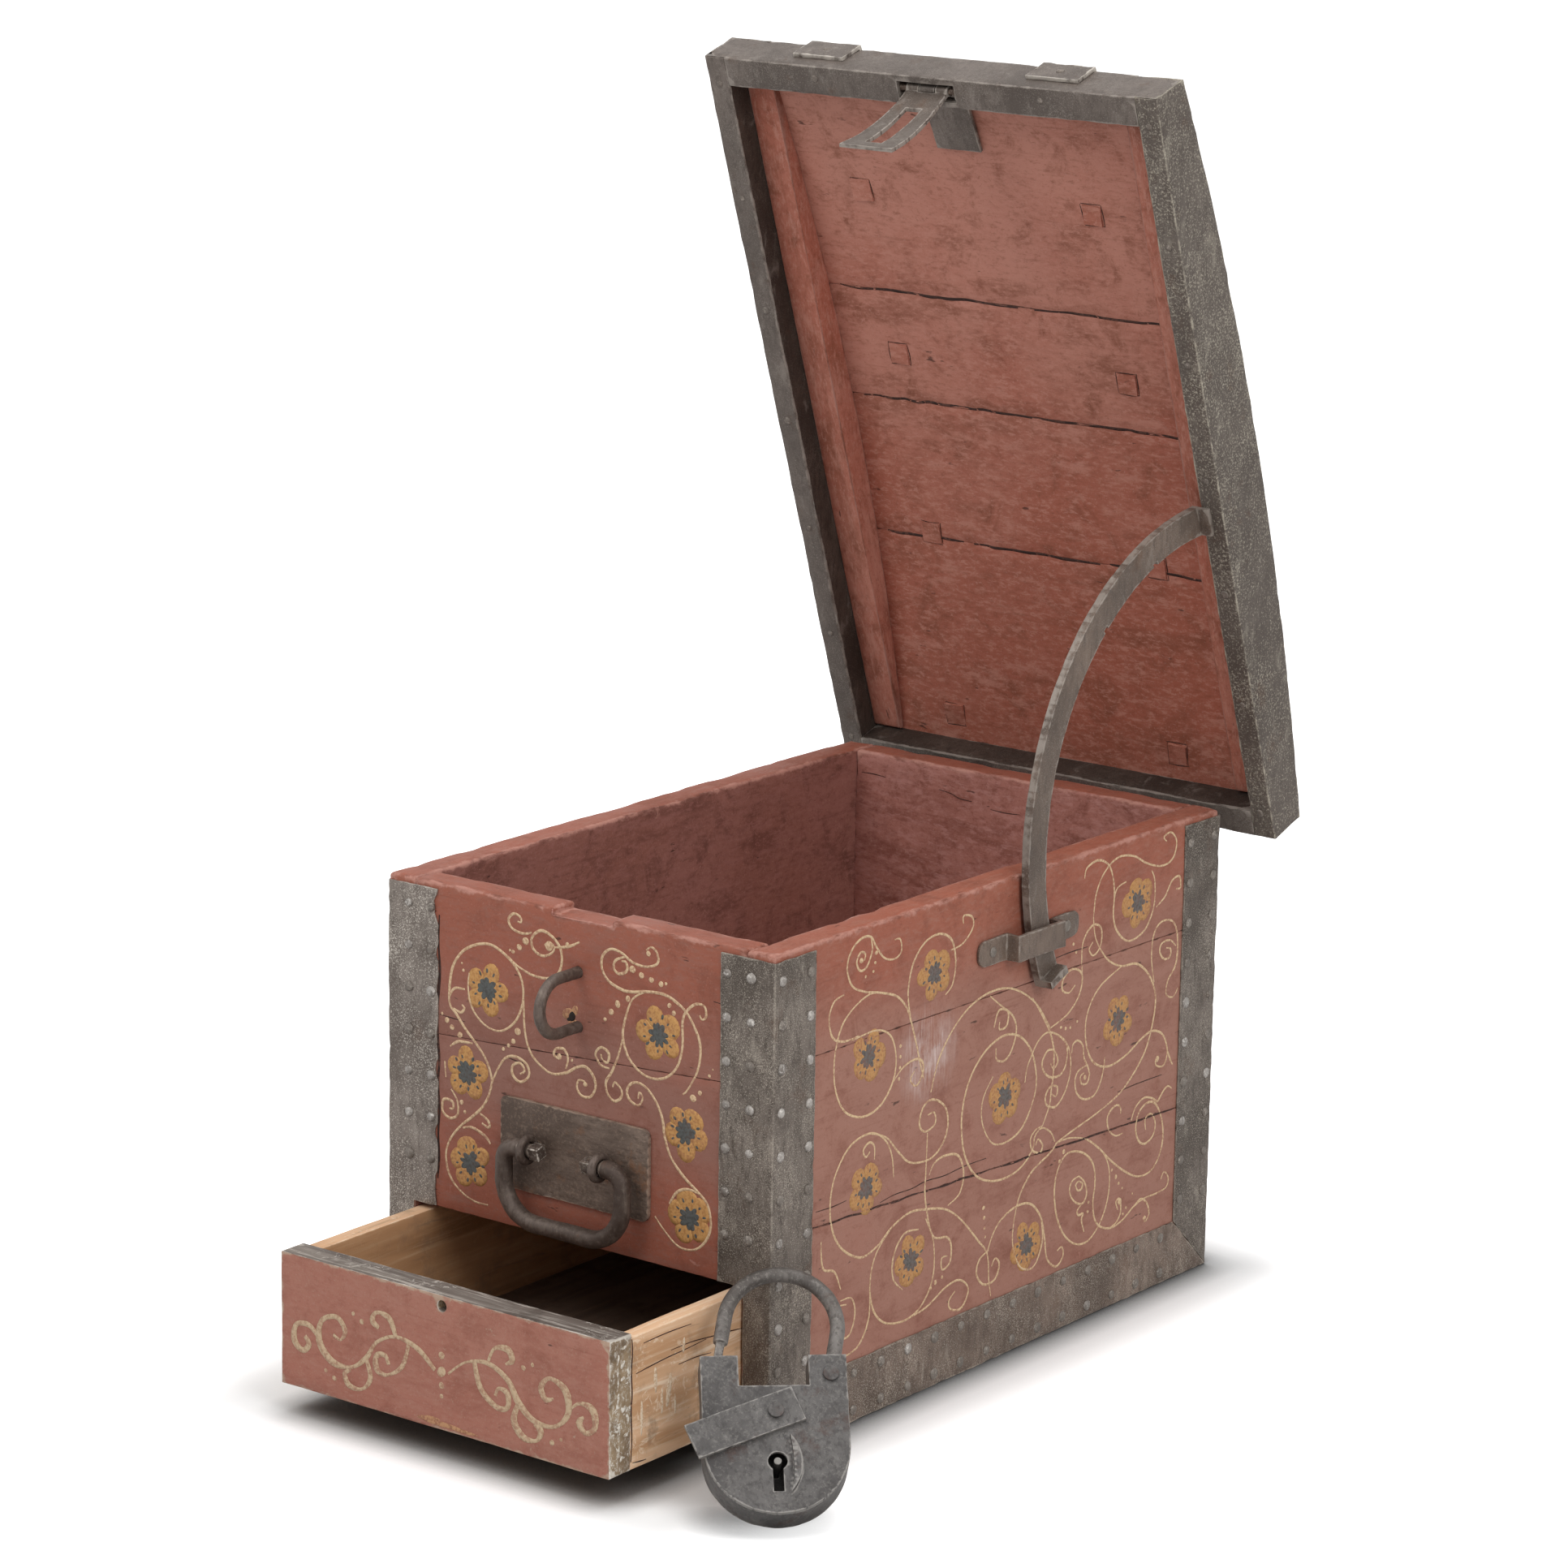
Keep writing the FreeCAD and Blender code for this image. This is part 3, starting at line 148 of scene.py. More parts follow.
def makeCamera():
    eye, target = Vector(view["eye"]) * mm, Vector(view["target"]) * mm
    ahead = (target - eye).normalized()
    right = ahead.cross(Vector((0, 0, 1))).normalized()
    roll = math.radians(view["roll"])
    right = right * math.cos(roll) + right.cross(ahead) * math.sin(roll)
    turn = Matrix((right, right.cross(ahead), -ahead)).transposed().to_4x4()
    data = bpy.data.cameras.new("photoView")
    data.lens, data.sensor_width, data.clip_end = view["lens"], view["sensor"], view["far"]
    camera = linked("photoView", data)
    camera.matrix_world = Matrix.Translation(eye) @ turn
    bpy.context.scene.camera = camera


def makeLight():
    scene = bpy.context.scene
    scene.view_settings.view_transform = "Standard"
    scene.world = bpy.data.worlds.new("studio")
    scene.world.use_nodes = True
    tree = scene.world.node_tree
    tree.nodes.clear()
    rays = addNode(tree, "ShaderNodeLightPath").outputs
    seen = calc(tree, "MAXIMUM", rays["Is Camera Ray"], rays["Is Glossy Ray"])
    seen = calc(tree, "MAXIMUM", seen, rays["Is Transmission Ray"])
    lit, shown = [wired(tree, "ShaderNodeBackground", {"Color": white, "Strength": level})
                  for level in (studio["world"], 1.0)]
    both = wired(tree, "ShaderNodeMixShader", {0: seen, 1: lit, 2: shown})
    addNode(tree, "ShaderNodeOutputWorld", {0: both})
    for name, (place, side, power) in studio["lamps"].items():
        data = bpy.data.lights.new(name, "AREA")
        data.shape, data.size, data.energy = "DISK", side, power
        aim = Vector(place) - Vector(studio["aim"])
        lamp = linked(name, data)
        lamp.matrix_world = Matrix.Translation(place) @ aim.to_track_quat("Z", "Y").to_matrix().to_4x4()


def makeFloor():
    half = studio["floorSide"] / 2
    mesh = bpy.data.meshes.new("floor")
    corners = [(-half, -half), (half, -half), (half, half), (-half, half)]
    mesh.from_pydata([(x, y, -studio["floorDrop"] * mm) for x, y in corners], [], [(0, 1, 2, 3)])
    floor = linked("floor", mesh)
    material, tree = newMaterial("paleFloor")
    # painted contact shadow: ambient occlusion darkens the floor's colour near the chest, as the camera sees
    # it; further out the glow lifts the floor to white
    contact = wired(tree, "ShaderNodeAmbientOcclusion", {"Distance": studio["contactReach"]}, "AO",
                    samples=8)
    dark = studio["floorColour"] * (1 - studio["contactShade"])
    level = wired(tree, "ShaderNodeMapRange", {0: contact, 1: studio["contactFrom"], 3: dark,
                                               4: studio["floorColour"]})
    matt = wired(tree, "ShaderNodeBsdfDiffuse", {"Color": level})
    away = vecMath(tree, "SUBTRACT", wired(tree, "ShaderNodeTexCoord", out="Object"), studio["footCentre"])
    away = vecMath(tree, "SUBTRACT", vecMath(tree, "ABSOLUTE", away), studio["footHalf"])
    away = vecMath(tree, "LENGTH", vecMath(tree, "MAXIMUM", away, (0, 0, 0)), out="Value")
    level = ranged(tree, away, studio["glowNear"], studio["glowFar"], 0.0, studio["glow"])
    glow = wired(tree, "ShaderNodeEmission", {"Color": white, "Strength": level})
    shown = wired(tree, "ShaderNodeAddShader", {0: matt, 1: glow})
    bounce = wired(tree, "ShaderNodeBsdfDiffuse", {"Color": (studio["floorBounce"],) * 3 + (1,)})
    rays = wired(tree, "ShaderNodeLightPath", out="Is Camera Ray")
    both = wired(tree, "ShaderNodeMixShader", {0: rays, 1: bounce, 2: shown})
    addNode(tree, "ShaderNodeOutputMaterial", {0: both})
    mesh.materials.append(material)


makeCamera()
makeLight()
makeFloor()
print("stage: camera, floor and lamps")


# Shader groups that several finishes share
def nodeGroup(name, kind, inputs, outputs):
    tree = bpy.data.node_groups.new(name, kind)
    for label, socketType, value in inputs:
        socket = tree.interface.new_socket(label, in_out="INPUT", socket_type="NodeSocket" + socketType)
        if value is not None:
            socket.default_value = value
    for label, socketType in outputs:
        tree.interface.new_socket(label, in_out="OUTPUT", socket_type="NodeSocket" + socketType)
    return tree, addNode(tree, "NodeGroupInput").outputs, addNode(tree, "NodeGroupOutput").inputs


def skinGroup(name, vectors, colours, levels):
    inputs = [(label, "Vector", None) for label in vectors] + [(label, "Color", None) for label in colours]
    inputs += [(label, "Float", value) for label, value in levels.items()]
    outputs = [("Color", "Color"), ("Roughness", "Float"), ("Height", "Float")]
    return nodeGroup(name, "ShaderNodeTree", inputs, outputs)


def clouds(tree, place, **table):  # by name: scale, detail, roughness and twist of noise
    return {label: cloud(tree, place, *look) for label, look in table.items()}


def streaks(tree, place, **table):  # the same with how the place is stretched instead of a scale
    return {label: cloud(tree, vecMath(tree, "MULTIPLY", place, stretch), 1.0, *look)
            for label, (stretch, *look) in table.items()}


# Each layer has its mask, the range that fades it in, its share and the colour it lays on
def coats(tree, given, skin, masks, layers):
    for mask, span, share, tone in layers:
        if isinstance(share, tuple):
            share = times(tree, given[share[0]], share[1])
        elif isinstance(share, str):
            share = given[share]
        cover = ranged(tree, masks[mask], *span) if span else masks[mask]
        skin = mixed(tree, times(tree, cover, share), skin, given[tone])
    return skin


def output(tree, out, **values):
    for label, value in values.items():
        tree.links.new(value, out[label])
    return tree


def edgeWearGroup():
    wear = {"scale": 95.0, "detail": 5.0, "rough": 0.65, "middle": 0.47, "gain": 4.0, "none": 1.0,
            "full": 0.35}
    inputs = [("Vector", "Vector", None), ("Rim", "Float", 0.0), ("Reach", "Float", 4.0),
              ("Ragged", "Float", 3.0)]
    tree, given, out = nodeGroup("edgeWear", "ShaderNodeTree", inputs, [("Mask", "Float")])
    rag = cloud(tree, given["Vector"], wear["scale"], wear["detail"], wear["rough"])
    rag = times(tree, times(tree, calc(tree, "SUBTRACT", rag, wear["middle"]), wear["gain"]),
                given["Ragged"])
    depth = calc(tree, "DIVIDE", calc(tree, "ADD", given["Rim"], rag), given["Reach"])
    return output(tree, out, Mask=ranged(tree, depth, wear["none"], wear["full"]))


def wornEdge(tree, given, reach, ragged):
    wires = {"Vector": given["Vector"], "Rim": given["Rim"], "Reach": reach, "Ragged": ragged}
    return wired(tree, "ShaderNodeGroup", wires, node_tree=edgeWear)


def paintSkinGroup():
    tree, given, out = skinGroup(
        "paintSkin", ("Vector", "Grain"), ("Base", "HazeAndLitTone", "Deep", "Bare", "Dirt"),
        {"Rim": 0.0, "Reach": 3.0, "Ragged": 2.5, "Mottle": 0.6, "Scuffs": 0.4, "PaleEdge": 1.0,
         "Fade": 0.3})
    masks = clouds(tree, given["Vector"], broad=(6.5, 5.0, 0.6), patch=(30.0, 8.0, 0.72, 0.6),
                   fleck=(560.0, 3.0, 0.65), crumb=(420.0, 3.0, 0.65), chip=(105.0, 5.0, 0.7, 0.8))
    masks.update(clouds(tree, given["Grain"], streak=(1.0, 6.0, 0.66)))
    masks.update(streaks(tree, given["Grain"], smudge=((0.9, 0.1, 0.1), 6.0, 0.62, 0.4),
                         drag=((3.4, 0.34, 0.34), 7.0, 0.72), small=((13.0, 1.1, 1.1), 6.0, 0.7, 0.3),
                         nick=((4.5, 0.55, 0.55), 3.0, 0.6)))
    for label, low, high in (("fleck", 0.56, 0.72), ("chip", 0.64, 0.7), ("nick", 0.69, 0.74)):
        masks[label] = ranged(tree, masks[label], low, high)
    masks["chip"] = times(tree, masks["chip"], ranged(tree, masks["patch"], 0.5, 0.6))
    # mixes Base towards the paler second colour by the given share and broad blotches; on the lid that share
    # rises with height, painted light towards its top
    drift = times(tree, calc(tree, "SUBTRACT", masks["broad"], 0.5), 1.6)
    drift = ranged(tree, calc(tree, "ADD", given["Fade"], drift), 0.05, 0.95)
    skin = coats(tree, given, mixed(tree, drift, given["Base"], given["HazeAndLitTone"]), masks, [
        ("patch", (0.48, 0.68), "Mottle", "Deep"), ("smudge", (0.5, 0.7), ("Mottle", 0.8), "Deep"),
        ("drag", (0.5, 0.68), "Scuffs", "HazeAndLitTone"), ("streak", (0.54, 0.78), 0.35, "HazeAndLitTone"),
        ("streak", (0.44, 0.24), 0.5, "Deep"), ("fleck", None, ("Scuffs", 0.7), "Bare"),
        ("crumb", (0.42, 0.28), 0.4, "Deep"), ("small", (0.5, 0.64), "Scuffs", "HazeAndLitTone"),
        ("small", (0.47, 0.33), ("Mottle", 0.6), "Deep"), ("chip", None, 0.6, "Bare"),
        ("nick", None, 0.75, "Dirt")])
    worn = wornEdge(tree, given, given["Reach"], given["Ragged"])
    bare = mixed(tree, ranged(tree, masks["drag"], 0.36, 0.56), given["Deep"], given["Bare"])
    bare = mixed(tree, given["PaleEdge"], given["Dirt"], bare)
    rough = ranged(tree, calc(tree, "ADD", masks["broad"], masks["patch"]), 0.7, 1.3, 0.5, 0.72)
    height = weighed(tree, (masks["streak"], 0.7), (masks["fleck"], 0.3), (masks["nick"], -0.9),
                     (masks["chip"], -0.4), (worn, -0.5))
    return output(tree, out, Color=mixed(tree, times(tree, worn, 0.85), skin, bare), Roughness=rough,
                  Height=height)


def ironSkinGroup():
    tree, given, out = skinGroup("ironSkin", ("Vector",), ("Base", "Dark", "Pale", "Rust"),
                                 {"Rim": 0.0, "Speckle": 0.5, "Rusted": 0.3, "Grit": 600.0, "Edge": 0.3})
    masks = clouds(tree, given["Vector"], broad=(11.0, 5.0, 0.6), fine=(given["Grit"], 3.0, 0.7),
                   drift=(24.0, 3.0, 0.6), rust=(33.0, 6.0, 0.68))
    masks.update(streaks(tree, given["Vector"], pits=((260.0, 260.0, 78.0), 5.0, 0.7),
                         smear=((80.0, 80.0, 32.0), 7.0, 0.66, 0.4)))
    drift = times(tree, calc(tree, "SUBTRACT", masks["drift"], 0.5), 0.22)
    masks["speck"] = calc(tree, "ADD", masks["fine"], drift)
    rust = times(tree, ranged(tree, masks["rust"], 0.56, 0.74), given["Rusted"])
    skin = mixed(tree, ranged(tree, masks["broad"], 0.3, 0.68), given["Dark"], given["Base"])
    skin = coats(tree, given, skin, masks, [
        ("pits", (0.53, 0.35), 0.7, "Dark"), ("speck", (0.5, 0.68), "Speckle", "Pale"),
        ("smear", (0.5, 0.68), 0.5, "Dark"), ("smear", (0.45, 0.28), 0.25, "Pale")])
    skin = mixed(tree, rust, skin, given["Rust"])
    skin = mixed(tree, times(tree, wornEdge(tree, given, 1.6, 0.9), given["Edge"]), skin, given["Pale"])
    rough = ranged(tree, calc(tree, "ADD", masks["fine"], rust), 0.3, 0.9, 0.46, 0.74)
    height = weighed(tree, (masks["fine"], 0.5), (masks["pits"], 0.9))
    return output(tree, out, Color=skin, Roughness=rough, Height=height)


def pineSkinGroup():
    tree, given, out = skinGroup("pineSkin", ("Vector", "Grain"), ("Base", "Ring", "Pale", "Dirt"),
                                 {"Rim": 0.0, "Chips": 0.5, "Grime": 0.5})
    masks = clouds(tree, given["Vector"], grime=(21.0, 6.0, 0.66), chip=(150.0, 6.0, 0.72, 0.9),
                   chipped=(23.0, 3.0))
    masks.update(clouds(tree, given["Grain"], streak=(1.0, 6.0, 0.65)))
    masks.update(streaks(tree, given["Grain"], rings=((0.5, 0.13, 0.13), 3.0, 0.5, 0.6),
                         graze=((1.6, 1.0, 0.35), 7.0, 0.74, 0.5)))
    masks["chip"] = times(tree, ranged(tree, masks["chip"], 0.54, 0.62),
                          ranged(tree, masks["chipped"], 0.44, 0.56))
    skin = mixed(tree, ranged(tree, masks["rings"], 0.4, 0.64), given["Base"], given["Ring"])
    skin = coats(tree, given, skin, masks, [
        ("streak", (0.48, 0.75), 0.6, "Pale"), ("streak", (0.44, 0.24), 0.6, "Ring"),
        ("graze", (0.55, 0.66), "Chips", "Pale"), ("graze", (0.42, 0.3), "Grime", "Dirt"),
        ("grime", (0.5, 0.68), "Grime", "Dirt"), ("chip", None, "Chips", "Pale")])
    skin = mixed(tree, times(tree, wornEdge(tree, given, 1.4, 1.2), 0.6), skin, given["Pale"])
    rough = ranged(tree, masks["streak"], 0.3, 0.7, 0.58, 0.78)
    height = weighed(tree, (masks["streak"], 1.0), (masks["chip"], 0.5))
    return output(tree, out, Color=skin, Roughness=rough, Height=height)


def brushSkinGroup():
    tree, given, out = skinGroup("brushSkin", ("Vector",), ("Tone", "Shade", "Under"), {"Fade": 0.4})
    masks = clouds(tree, given["Vector"], fine=(480.0, 3.0, 0.6), thick=(120.0, 4.0, 0.65),
                   broad=(17.0, 3.0, 0.5))
    skin = mixed(tree, ranged(tree, masks["fine"], 0.42, 0.66), given["Tone"], given["Shade"])
    gone = ranged(tree, weighed(tree, (masks["thick"], 0.6), (masks["fine"], 0.4)), 0.46, 0.6)
    gone = times(tree, times(tree, gone, ranged(tree, masks["broad"], 0.36, 0.62, 0.35, 1.0)), given["Fade"])
    rough = ranged(tree, masks["fine"], 0.3, 0.7, 0.55, 0.7)
    return output(tree, out, Color=mixed(tree, gone, skin, given["Under"]), Roughness=rough,
                  Height=masks["fine"])


edgeWear = edgeWearGroup()
paintSkin, ironSkin = paintSkinGroup(), ironSkinGroup()
pineSkin, brushSkin = pineSkinGroup(), brushSkinGroup()

# Finishes
lidTurn = math.radians(-71.3)  # from shut to how the lid stands at rest
grainSize = (0.11, 0.0038, 0.0038)  # along the grain, and across it
grainX = (0.0, 0.0, 0.0)
grainY = (0.0, 0.0, math.radians(90))
grainLid = tuple((Matrix.Rotation(lidTurn, 3, "X") @ Matrix.Rotation(grainY[2], 3, "Z")).to_euler("XYZ"))
rimLimit = 40.0  # in mm, as far as the distance from an edge is kept
scuffTone = (206, 186, 180)
jointWear = {"Reach": 0.9, "Ragged": 0.35}  # close and dirty at a joint, broad on the top edge


def scuffed(tree, place, skin, centre, size):  # a rubbed, whitened spot with upright scratches
    away = vecMath(tree, "DIVIDE", vecMath(tree, "SUBTRACT", place, centre), size)
    away = vecMath(tree, "LENGTH", away, out="Value")
    scratch = cloud(tree, vecMath(tree, "MULTIPLY", place, (1.0, 420.0, 40.0)), 1.0, 4.0, 0.7)
    soft = cloud(tree, place, 60.0, 4.0, 0.6)
    share = calc(tree, "ADD", ranged(tree, scratch, 0.45, 0.72, 0.0, 0.55),
                 ranged(tree, soft, 0.35, 0.7, 0.0, 0.5))
    share = times(tree, share, ranged(tree, away, 1.0, 0.2, 0.0, 0.95))
    return mixed(tree, share, skin, colour(*scuffTone))


def finish(name, group, tones, grain=None, bump=0.35, depth=0.4, metallic=0.0, specular=0.22, rimmed=True,
           paleFrom=None, blendFrom=None, clearFrom=None, scuff=None, lying=False):
    material, tree = newMaterial(name)
    spot = place = wired(tree, "ShaderNodeTexCoord", out="Object")
    height = wired(tree, "ShaderNodeSeparateXYZ", {0: place}, "Z")
    skin = addNode(tree, "ShaderNodeGroup", node_tree=group)
    wires = {label: colour(*value) if isinstance(value, tuple) else value for label, value in tones.items()}
    if rimmed:  # each worn piece shifts its own pattern, so no two planks match
        shift = wired(tree, "ShaderNodeAttribute", out="Vector", attribute_name="tone")
        place = vecMath(tree, "ADD", place, shift)
        wires["Rim"] = wired(tree, "ShaderNodeAttribute", out="Fac", attribute_name="rim")
    elif "Rim" in skin.inputs:
        wires["Rim"] = rimLimit
    if lying:  # marks that would be drawn upright run level
        place = wired(tree, "ShaderNodeMapping", {"Vector": place, "Rotation": (0.0, math.radians(90), 0.0)})
    wires["Vector"] = place
    if grain:
        laid = {"Vector": place, "Scale": grainSize, "Rotation": grain}
        wires["Grain"] = wired(tree, "ShaderNodeMapping", laid, vector_type="TEXTURE")
    if paleFrom:
        wires["PaleEdge"] = ranged(tree, height, *paleFrom)
        for label, joint in jointWear.items():
            wires[label] = ranged(tree, height, *paleFrom, joint, tones[label])
    # blends the coat by height towards the skin's second colour; on the lid this is painted light
    if blendFrom:
        blend = ranged(tree, height, *blendFrom)
        if clearFrom:  # and full colour again low down
            blend = times(tree, blend, ranged(tree, height, *clearFrom))
        wires["Fade" if "Fade" in skin.inputs else "Grime"] = blend
    wire(tree, skin, wires)
    tint = scuffed(tree, spot, skin.outputs["Color"], *scuff) if scuff else skin.outputs["Color"]
    ridge = {"Strength": bump, "Distance": depth * mm, "Height": skin.outputs["Height"]}
    shader = {"Base Color": tint, "Roughness": skin.outputs["Roughness"], "Metallic": metallic,
              "Normal": wired(tree, "ShaderNodeBump", ridge), "Specular IOR Level": specular}
    addNode(tree, "ShaderNodeOutputMaterial", {0: wired(tree, "ShaderNodeBsdfPrincipled", shader)})
    return material


# Paint, as screen colours
redPaint = dict(Base=(154, 90, 71), HazeAndLitTone=(156, 112, 97), Deep=(120, 72, 58), Bare=(184, 134, 120),
                Dirt=(58, 38, 32), Reach=4.2, Ragged=3.0, Mottle=0.5, Scuffs=0.4)
frontPaint = dict(redPaint, Base=(152, 90, 72), HazeAndLitTone=(142, 101, 89))
# the lid's paler second colour serves its scuffs and also the painted light towards its top
lidPaint = dict(redPaint, Base=(160, 93, 75), HazeAndLitTone=(182, 126, 110), Deep=(122, 72, 54), Mottle=0.7,
                Scuffs=0.75, Reach=0.9, Ragged=0.4, PaleEdge=0.0)
# painted light: copies of the red for the walls' inner faces, hazier than the outer coat, the front and back
# ones paler as well
insideAcross = dict(redPaint, Base=(169, 113, 101), HazeAndLitTone=(186, 135, 126), Deep=(120, 70, 58), Scuffs=0.65,
                    Mottle=0.8)
insideAlong = dict(insideAcross, Base=(145, 96, 84), HazeAndLitTone=(158, 108, 99), Deep=(108, 68, 59))
battenPaint = dict(lidPaint, Base=(166, 98, 80), Reach=2.0, PaleEdge=0.7)
drawerPaint = dict(redPaint, Base=(160, 104, 88), HazeAndLitTone=(166, 120, 105), Deep=(132, 80, 66), Reach=2.6,
                   Ragged=2.2, Bare=(176, 154, 134))
topEdge = (0.349, 0.359)  # heights between which a chest edge turns from dirty to rubbed pale
redAcross = finish("redPaintAcross", paintSkin, frontPaint, grainX, paleFrom=topEdge,
                   blendFrom=(0.35, 0.24, 0.0, 0.85), clearFrom=(0.145, 0.235, 0.0, 1.0))
redAlong = finish("redPaintAlong", paintSkin, redPaint, grainY, paleFrom=topEdge,
                  blendFrom=(0.35, 0.25, 0.05, 1.0), scuff=((0.175, -0.096, 0.254), (0.06, 0.044, 0.046)))
redInsideAcross = finish("redInsideAcross", paintSkin, insideAcross, grainX, paleFrom=topEdge)
redInsideAlong = finish("redInsideAlong", paintSkin, insideAlong, grainY, paleFrom=topEdge)
# painted light: the lid's red turns paler towards the top of the open lid, where the light falls strongest
redLid = finish("redPaintLid", paintSkin, lidPaint, grainX, blendFrom=(0.45, 0.88, 0.1, 0.8))
redBatten = finish("redPaintBatten", paintSkin, battenPaint, grainLid)
redDrawer = finish("redPaintDrawer", paintSkin, drawerPaint, grainX)
redRove = finish("redPaintRove", paintSkin, dict(lidPaint, Reach=0.1), grainX, rimmed=False)

# Iron: how its surface takes the light, then its tones
pitted = dict(bump=0.6, depth=0.7, metallic=0.25, specular=0.3)
rolled = dict(bump=0.45, depth=0.5, metallic=0.3, specular=0.35)
hammered = dict(rolled, bump=0.4)
cast = dict(bump=0.3, metallic=0.4, specular=0.4)
sheetTones = dict(Base=(116, 106, 98), Dark=(74, 65, 58), Pale=(194, 184, 170), Rust=(96, 68, 52),
                  Speckle=0.7, Rusted=0.35, Grit=1050.0, Edge=0.3)
lidTones = dict(sheetTones, Base=(114, 104, 97), Dark=(84, 75, 69), Pale=(166, 157, 148), Speckle=0.4,
                Edge=0.55)
stayTones = dict(lidTones, Base=(120, 103, 91), Dark=(86, 74, 66), Rust=(110, 82, 64))
forgedTones = dict(sheetTones, Base=(106, 89, 79), Dark=(66, 53, 46), Pale=(156, 142, 129),
                   Rust=(112, 74, 48), Speckle=0.55, Rusted=0.6, Grit=420.0, Edge=0.6)
nailTones = dict(sheetTones, Base=(178, 172, 166), Dark=(108, 100, 93), Pale=(232, 227, 220), Speckle=0.6,
                 Rusted=0.25, Grit=500.0)
lockTones = dict(sheetTones, Base=(100, 97, 95), Dark=(60, 57, 56), Pale=(146, 142, 137), Rust=(90, 71, 65),
                 Speckle=0.3, Rusted=0.85, Grit=420.0, Edge=0.75)


def iron(name, tones, surface, rimmed=True, lying=False, **changes):
    return finish(name, ironSkin, dict(tones, **changes), rimmed=rimmed, lying=lying, **surface)


sheetIron = iron("pittedSheetIron", sheetTones, pitted)
baseIron = iron("basePittedIron", sheetTones, pitted, Base=(132, 114, 102), Dark=(84, 70, 61))
leftIron = iron("palePittedIron", sheetTones, pitted, Base=(138, 128, 120), Dark=(94, 84, 77),
                Pale=(206, 198, 187), Speckle=0.95)
lidIron = iron("lidSheetIron", lidTones, rolled)
lidSideIron = iron("lidSideIron", lidTones, dict(pitted, bump=0.5, depth=0.6), Base=(104, 95, 88),
                   Speckle=0.66, Pale=(190, 182, 165), Grit=640.0)
railIron = iron("lidRailIron", lidTones, dict(rolled, metallic=0.2, specular=0.2), Base=(76, 64, 57),
                Dark=(50, 41, 36), Speckle=0.15)
strapIron = iron("strapIron", lidTones, rolled, Edge=0.95, Pale=(196, 188, 178), Speckle=0.3)
stayIron = iron("stayIron", stayTones, hammered)
haspIron = iron("haspIron", stayTones, hammered, Base=(108, 99, 92), Edge=0.75, Speckle=0.3)
rodIron = iron("rodIron", forgedTones, dict(bump=0.45, depth=0.6, metallic=0.35, specular=0.4),
               Base=(104, 91, 83), Speckle=0.16, Rusted=0.4, Grit=300.0)
forgedIron = iron("forgedIron", forgedTones, dict(rolled, bump=0.6, depth=0.7), lying=True,
                  Base=(132, 114, 102), Dark=(84, 69, 60), Speckle=0.25, Rust=(136, 94, 66), Rusted=0.75,
                  Pale=(172, 148, 130))
tipIron = iron("bailTipIron", forgedTones, dict(bump=0.4, depth=0.5, metallic=0.35, specular=0.45),
               Edge=0.95, Base=(136, 123, 112), Pale=(212, 203, 191), Speckle=0.3)
lockIron = iron("lockIron", lockTones, cast)
rivetIron = iron("lockRivetIron", lockTones, dict(cast, specular=0.3), Edge=0.05, Speckle=0.15)
shackleIron = iron("shackleIron", sheetTones, dict(cast, bump=0.4, depth=0.5), Base=(120, 115, 111),
                   Dark=(74, 68, 64), Speckle=0.35, Grit=360.0, Pale=(160, 154, 147), Edge=0.4)
nailIron = iron("nailIron", nailTones, dict(bump=0.4, metallic=0.4, specular=0.5), False)
dullNailIron = iron("dullNailIron", nailTones, dict(bump=0.4, metallic=0.35), False, Base=(132, 124, 116),
                    Pale=(186, 178, 168))
lidNailIron = iron("lidNailIron", nailTones, dict(metallic=0.35), False, Base=(116, 106, 98),
                   Pale=(170, 160, 150))
hiddenIron = iron("hiddenIron", forgedTones, dict(bump=0.4, metallic=0.3), False)

# Bare wood
pineTones = dict(Base=(222, 182, 146), Ring=(190, 145, 106), Pale=(236, 214, 188), Dirt=(140, 112, 90),
                 Chips=0.6, Grime=0.55)
innerTones = dict(pineTones, Base=(194, 150, 110), Ring=(160, 117, 80), Pale=(210, 176, 140), Chips=0.15)
endTones = dict(Base=(160, 138, 110), Ring=(126, 106, 84), Pale=(234, 228, 218), Dirt=(90, 75, 60),
                Chips=1.0, Grime=0.95)
weatheredTones = dict(Base=(124, 115, 107), Ring=(88, 78, 72), Pale=(206, 198, 188), Dirt=(58, 48, 42),
                      Chips=0.7, Grime=0.6)
darkTones = dict(Base=(118, 98, 84), Ring=(92, 75, 64), Pale=(138, 116, 100), Dirt=(76, 62, 53), Chips=0.1,
                 Grime=0.5)
pine = finish("barePine", pineSkin, dict(pineTones, Dirt=(118, 97, 78)), grainY, bump=0.3,
              blendFrom=(0.075, 0.02, 0.5, 1.0))
pineInner = finish("barePineInner", pineSkin, innerTones, grainY, bump=0.3)
pineAcross = finish("barePineAcross", pineSkin, pineTones, grainX, bump=0.3)
chippedEnd = finish("chippedEndGrain", pineSkin, endTones, grainX, bump=0.5, depth=0.7)
weatheredTop = finish("weatheredTop", pineSkin, weatheredTones, grainX, bump=0.5, depth=0.6)
darkWood = finish("darkWood", pineSkin, darkTones, grainY, bump=0.3)
underRed = (152, 102, 86)


def brush(name, tone, shade, blend, under=underRed):
    tones = {"Tone": tone, "Shade": shade, "Under": under, "Fade": blend}
    return finish(name, brushSkin, tones, bump=0.2, depth=0.3, rimmed=False)


